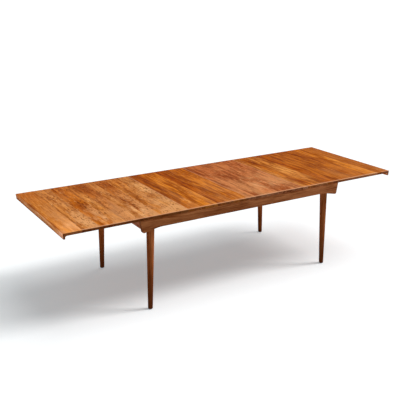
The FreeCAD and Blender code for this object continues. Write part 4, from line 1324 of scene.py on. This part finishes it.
@dataclass(frozen=True)
class FittingSet:
    """The fittings that stand for one CAD node."""

    crease: ClassVar[float] = 32.0

    node: str
    kind: type[Fitting]
    slot: str
    sideways: bool = False

    @property
    def body(self) -> str:
        """Give the body that the node belongs to."""
        bodies = frame["record"]["behaviour"]["bodies"]
        return next(body for body, nodes in bodies.items() if self.node in nodes)

    def places(self) -> list[tuple[Vector, Vector]]:
        """Find where each fitting starts and which way it points.

        Returns:
            The start and the direction of each fitting.
        """
        found = []
        for low, high in solid_boxes(self.node):
            middle = (low + high) / 2
            if self.sideways:
                outward = math.copysign(1.0, middle.y)
                inner = low.y if outward > 0 else high.y
                found.append((Vector((middle.x, inner, middle.z)), Vector((0.0, outward, 0.0))))
            else:
                found.append((Vector((middle.x, middle.y, low.z)), Axis.UPRIGHT.direction))
        return found

    def fitting(self) -> Fitting:
        """Size the fitting to the CAD node's first solid.

        Returns:
            The sized fitting.
        """
        low, high = solid_boxes(self.node)[0]
        along, across, up = high - low
        return self.kind(across, up) if self.sideways else self.kind(up, min(along, across))

    def build(self, tree: bpy.types.NodeTree, finish: bpy.types.Material) -> bpy.types.Object:
        """Set the fittings with their tree and keep the result as plain mesh.

        Args:
            tree: The Geometry Nodes tree of this kind of fitting.
            finish: The material.

        Returns:
            The object of the whole set.
        """
        places = self.places()
        points = bpy.data.meshes.new(self.node + "_points")
        points.from_pydata([start for start, _ in places], [], [])
        axes = points.attributes.new("axis", "FLOAT_VECTOR", "POINT")
        for item, (_, direction) in zip(axes.data, places):
            item.vector = direction
        piece = bpy.data.objects.new(self.node + "_set", points)
        bpy.context.scene.collection.objects.link(piece)
        modifier = piece.modifiers.new("fittings", "NODES")
        modifier.node_group = tree
        given = {"finish": finish, **asdict(self.fitting())}
        for item in tree.interface.items_tree:
            if item.in_out == "INPUT" and item.name in given:
                modifier[item.identifier] = given[item.name]
        graph = bpy.context.evaluated_depsgraph_get()
        mesh = bpy.data.meshes.new_from_object(piece.evaluated_get(graph), depsgraph=graph)
        piece.modifiers.clear()
        piece.data = mesh
        bpy.data.meshes.remove(points)
        self.smooth(mesh)
        return piece

    def smooth(self, mesh: bpy.types.Mesh) -> None:
        """Turn the faces outwards and shade the round ones smooth.

        Args:
            mesh: The mesh of the set.
        """
        work = bmesh.new()
        work.from_mesh(mesh)
        bmesh.ops.recalc_face_normals(work, faces=work.faces)
        work.to_mesh(mesh)
        work.free()
        mesh.shade_smooth()
        mesh.set_sharp_from_angle(angle=math.radians(self.crease))

    def dress(self, piece: bpy.types.Object) -> None:
        """Let the set ride on its body and stand for its CAD node.

        Args:
            piece: The object of the set.
        """
        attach(piece, self.body)
        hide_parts(self.node)


@dataclass
class Hardware:
    """The screws, bolts, nuts, washers, pegs and glides."""

    steel: Metal = Metal("zinc plated steel", (0.56, 0.55, 0.52, 1.0))
    glide: Plastic = Plastic("dark glide", linear(48, 34, 26))
    seed: int = 21
    sets: tuple[FittingSet, ...] = (
        FittingSet("left_runner_screws", Screw, "steel"),
        FittingSet("right_runner_screws", Screw, "steel"),
        FittingSet("left_leaf_screws", Screw, "steel"),
        FittingSet("right_leaf_screws", Screw, "steel"),
        FittingSet("guide_rail_screws", Screw, "steel"),
        FittingSet("leg_block_screws", Screw, "steel", sideways=True),
        FittingSet("leg_bolts", Bolt, "steel"),
        FittingSet("leg_washers", Washer, "steel"),
        FittingSet("leg_nuts", Nut, "steel"),
        FittingSet("foot_glides", Glide, "glide"),
        FittingSet("left_stop_pegs", Peg, "peg_wood"),
        FittingSet("right_stop_pegs", Peg, "peg_wood"),
        FittingSet("left_leaf_pegs", Peg, "peg_wood"),
        FittingSet("right_leaf_pegs", Peg, "peg_wood"),
    )

    def tree(self, kind: type[Fitting], example: Fitting) -> bpy.types.NodeTree:
        """Make the Geometry Nodes tree of one kind of fitting.

        Args:
            kind: The kind of fitting.
            example: A fitting of that kind, which names its sizes.

        Returns:
            The tree.
        """
        graph = FittingGraph(kind.__name__.lower(), asdict(example))
        graph.finish(example.shape(graph), kind.spin, self.seed)
        return graph.tree

    def dress(self, peg: bpy.types.Material) -> None:
        """Make every set of fittings and let it stand for its CAD node.

        Args:
            peg: The finish of the wooden pegs.
        """
        finishes = {"steel": self.steel.material(), "glide": self.glide.material(), "peg_wood": peg}
        trees: dict[type[Fitting], bpy.types.NodeTree] = {}
        for item in self.sets:
            if item.kind not in trees:
                trees[item.kind] = self.tree(item.kind, item.fitting())
            piece = item.build(trees[item.kind], finishes[item.slot])
            item.dress(piece)
            LOG.info("%s: %d faces", piece.name, len(piece.data.polygons))


@dataclass
class Underframe:
    """The aprons, legs, rails, runners and battens under the top, with their dowels."""

    apron_tone: Colour = linear(135, 80, 44)
    end_apron_tone: Colour = linear(184, 122, 92)
    leg_tone: Colour = linear(146, 82, 42)
    slide_tone: Colour = linear(196, 148, 98)
    peg_tone: Colour = linear(206, 164, 116)
    # Painted light: the long apron grows paler towards its right end, as if lit from that side.
    apron_painted_side_light: Tide = Tide(Axis.ALONG, -0.7, 0.9, (1.12, 1.10, 1.16))
    # Painted light: the long apron is lightened towards its top, against the shade cast by the top's
    # overhang.
    apron_painted_top_light: Tide = Tide(Axis.UPRIGHT, 0.664, 0.690, (1.45, 1.55, 1.6))
    leg_shade: Tide = Tide(Axis.UPRIGHT, 0.42, 0.02, (0.42, 0.38, 0.36))
    # Painted light: the back legs, which stand in shade, are lightened.
    back_leg_painted_light: Tide = Tide(Axis.ACROSS, -0.2, 0.3, (1.7, 1.7, 1.4))
    apron_ends: Tint = (0.8, 0.75, 0.75)
    peg_ends: Tint = (0.6, 0.5, 0.42)

    def dress(self) -> bpy.types.Material:
        """Finish each wooden piece of the frame with the grain along its length.

        Returns:
            The finish of the dowels, which the pegs share.
        """
        peg = Wood("peg wood", Axis.UPRIGHT, self.peg_tone, end_shade=self.peg_ends).material()
        leg = Wood(
            "turned leg",
            Axis.UPRIGHT,
            self.leg_tone,
            rings=0.4,
            heart=(0.85, 0.5, 0.2),
            tides=(self.leg_shade, self.back_leg_painted_light),
        )
        long_apron = Wood(
            "long apron",
            Axis.ALONG,
            self.apron_tone,
            streaks=0.8,
            end_shade=self.apron_ends,
            heart=(0.3, -0.4, 0.6),
            tides=(self.apron_painted_side_light, self.apron_painted_top_light),
        )
        end_apron = Wood("end apron", Axis.ACROSS, self.end_apron_tone, heart=(0.8, 0.1, 0.6))
        bearer = Wood("bearer wood", Axis.ACROSS, self.slide_tone, heart=(0.2, 0.1, 0.6))
        runner = Wood("runner wood", Axis.ALONG, self.slide_tone, rings=0.3, heart=(0.1, 0.2, 0.6))
        finishes = {
            ("_leg",): leg.material(),
            ("_end_apron",): end_apron.material(),
            ("_apron",): long_apron.material(),
            ("_cross_bearer",): bearer.material(),
            ("_runner", "_guide_rail", "_batten", "_leg_block"): runner.material(),
            ("_dowels",): peg,
        }
        for node in frame["nodes"]:
            finish = next((item for endings, item in finishes.items() if node.endswith(endings)), None)
            if finish:
                paint(node, finish)
        return peg


@dataclass(frozen=True)
class Lamp:
    """A broad lamp: its share of the light on a level surface, its side, and its width in degrees."""

    name: str
    share: float
    side: tuple[float, float, float]
    angle: float

    def hang(self) -> None:
        """Hang the lamp and turn it to the table."""
        towards = Vector(self.side).normalized()
        light = bpy.data.lights.new(self.name, "SUN")
        light.energy = self.share * math.pi / towards.z
        light.angle = math.radians(self.angle)
        lamp = bpy.data.objects.new(self.name, light)
        lamp.rotation_euler = (-towards).to_track_quat("-Z", "Y").to_euler()
        bpy.context.scene.collection.objects.link(lamp)


@dataclass
class Studio:
    """The floor, the light and the camera."""

    lamps: tuple[Lamp, ...] = (
        Lamp("key", 0.379, (1.076, -0.405, 1.0), 18.8),
        Lamp("fill", 0.403, (0.425, -0.085, 1.0), 45.3),
    )
    sky_share: float = 0.24
    floor_size: float = 300.0
    floor_shade: Colour = (0.80, 0.80, 0.80, 1.0)
    floor_lift: Colour = (0.254, 0.290, 0.307, 1.0)
    lens: float = 61.1291
    stand: tuple[float, float, float] = (-2.792, -4.4052, 2.2548)
    aim: tuple[float, float, float] = (72.0909, 0.0947, -31.2709)
    sight: float = 1000.0

    def dress(self) -> None:
        """Set up the floor, the light and the camera."""
        self.lay_floor()
        self.light()
        self.place_camera()

    def seen(self, graph: ShaderGraph) -> Socket:
        """Tell the rays that show the studio apart from those that light the table.

        Args:
            graph: The graph that takes the nodes.

        Returns:
            1 for a ray from the camera, straight or by way of gloss or glass, and 0 for others.
        """
        path = graph.add("ShaderNodeLightPath").outputs
        mirrored = graph.math("MAXIMUM", path["Is Glossy Ray"], path["Is Transmission Ray"])
        return graph.math("MAXIMUM", path["Is Camera Ray"], mirrored)

    def lay_floor(self) -> None:
        """Lay a plain white floor that keeps the table's shadow."""
        half = self.floor_size / 2
        mesh = bpy.data.meshes.new("floor")
        corners = [(-half, -half, 0.0), (half, -half, 0.0), (half, half, 0.0), (-half, half, 0.0)]
        mesh.from_pydata(corners, [], [(0, 1, 2, 3)])
        floor = bpy.data.objects.new("floor", mesh)
        bpy.context.scene.collection.objects.link(floor)
        material = bpy.data.materials.new("white floor")
        graph = ShaderGraph.emptied(material)
        matt = graph.add("ShaderNodeBsdfDiffuse", {"Color": self.floor_shade})
        feeds = {"Color": self.floor_lift, "Strength": self.seen(graph)}
        lift = graph.add("ShaderNodeEmission", feeds)
        both = graph.add("ShaderNodeAddShader", {0: matt.outputs[0], 1: lift.outputs[0]})
        graph.add("ShaderNodeOutputMaterial", {"Surface": both.outputs[0]})
        mesh.materials.append(material)

    def light(self) -> None:
        """Light the table with two broad lamps from the right and an even sky."""
        for lamp in self.lamps:
            lamp.hang()
        world = bpy.data.worlds.new("studio")
        bpy.context.scene.world = world
        graph = ShaderGraph.emptied(world)
        strength = graph.remap(self.seen(graph), 0.0, 1.0, self.sky_share, 1.0)
        feeds = {"Color": (1.0, 1.0, 1.0, 1.0), "Strength": strength}
        sky = graph.add("ShaderNodeBackground", feeds)
        graph.add("ShaderNodeOutputWorld", {"Surface": sky.outputs[0]})

    def place_camera(self) -> None:
        """Stand the camera where the photograph was taken from."""
        lens = bpy.data.cameras.new("camera")
        lens.lens = self.lens
        lens.clip_end = self.sight
        camera = bpy.data.objects.new("camera", lens)
        camera.location = self.stand
        camera.rotation_euler = [math.radians(turn) for turn in self.aim]
        bpy.context.scene.collection.objects.link(camera)
        bpy.context.scene.camera = camera


def main() -> None:
    """Build and dress the table, then set up the studio."""
    logging.basicConfig(level=logging.INFO, format="%(name)s: %(message)s")
    bpy.context.scene.view_settings.view_transform = "Standard"
    Top.from_frame().dress()
    peg = Underframe().dress()
    Hardware().dress(peg)
    Studio().dress()


if __name__ == "__main__":
    main()
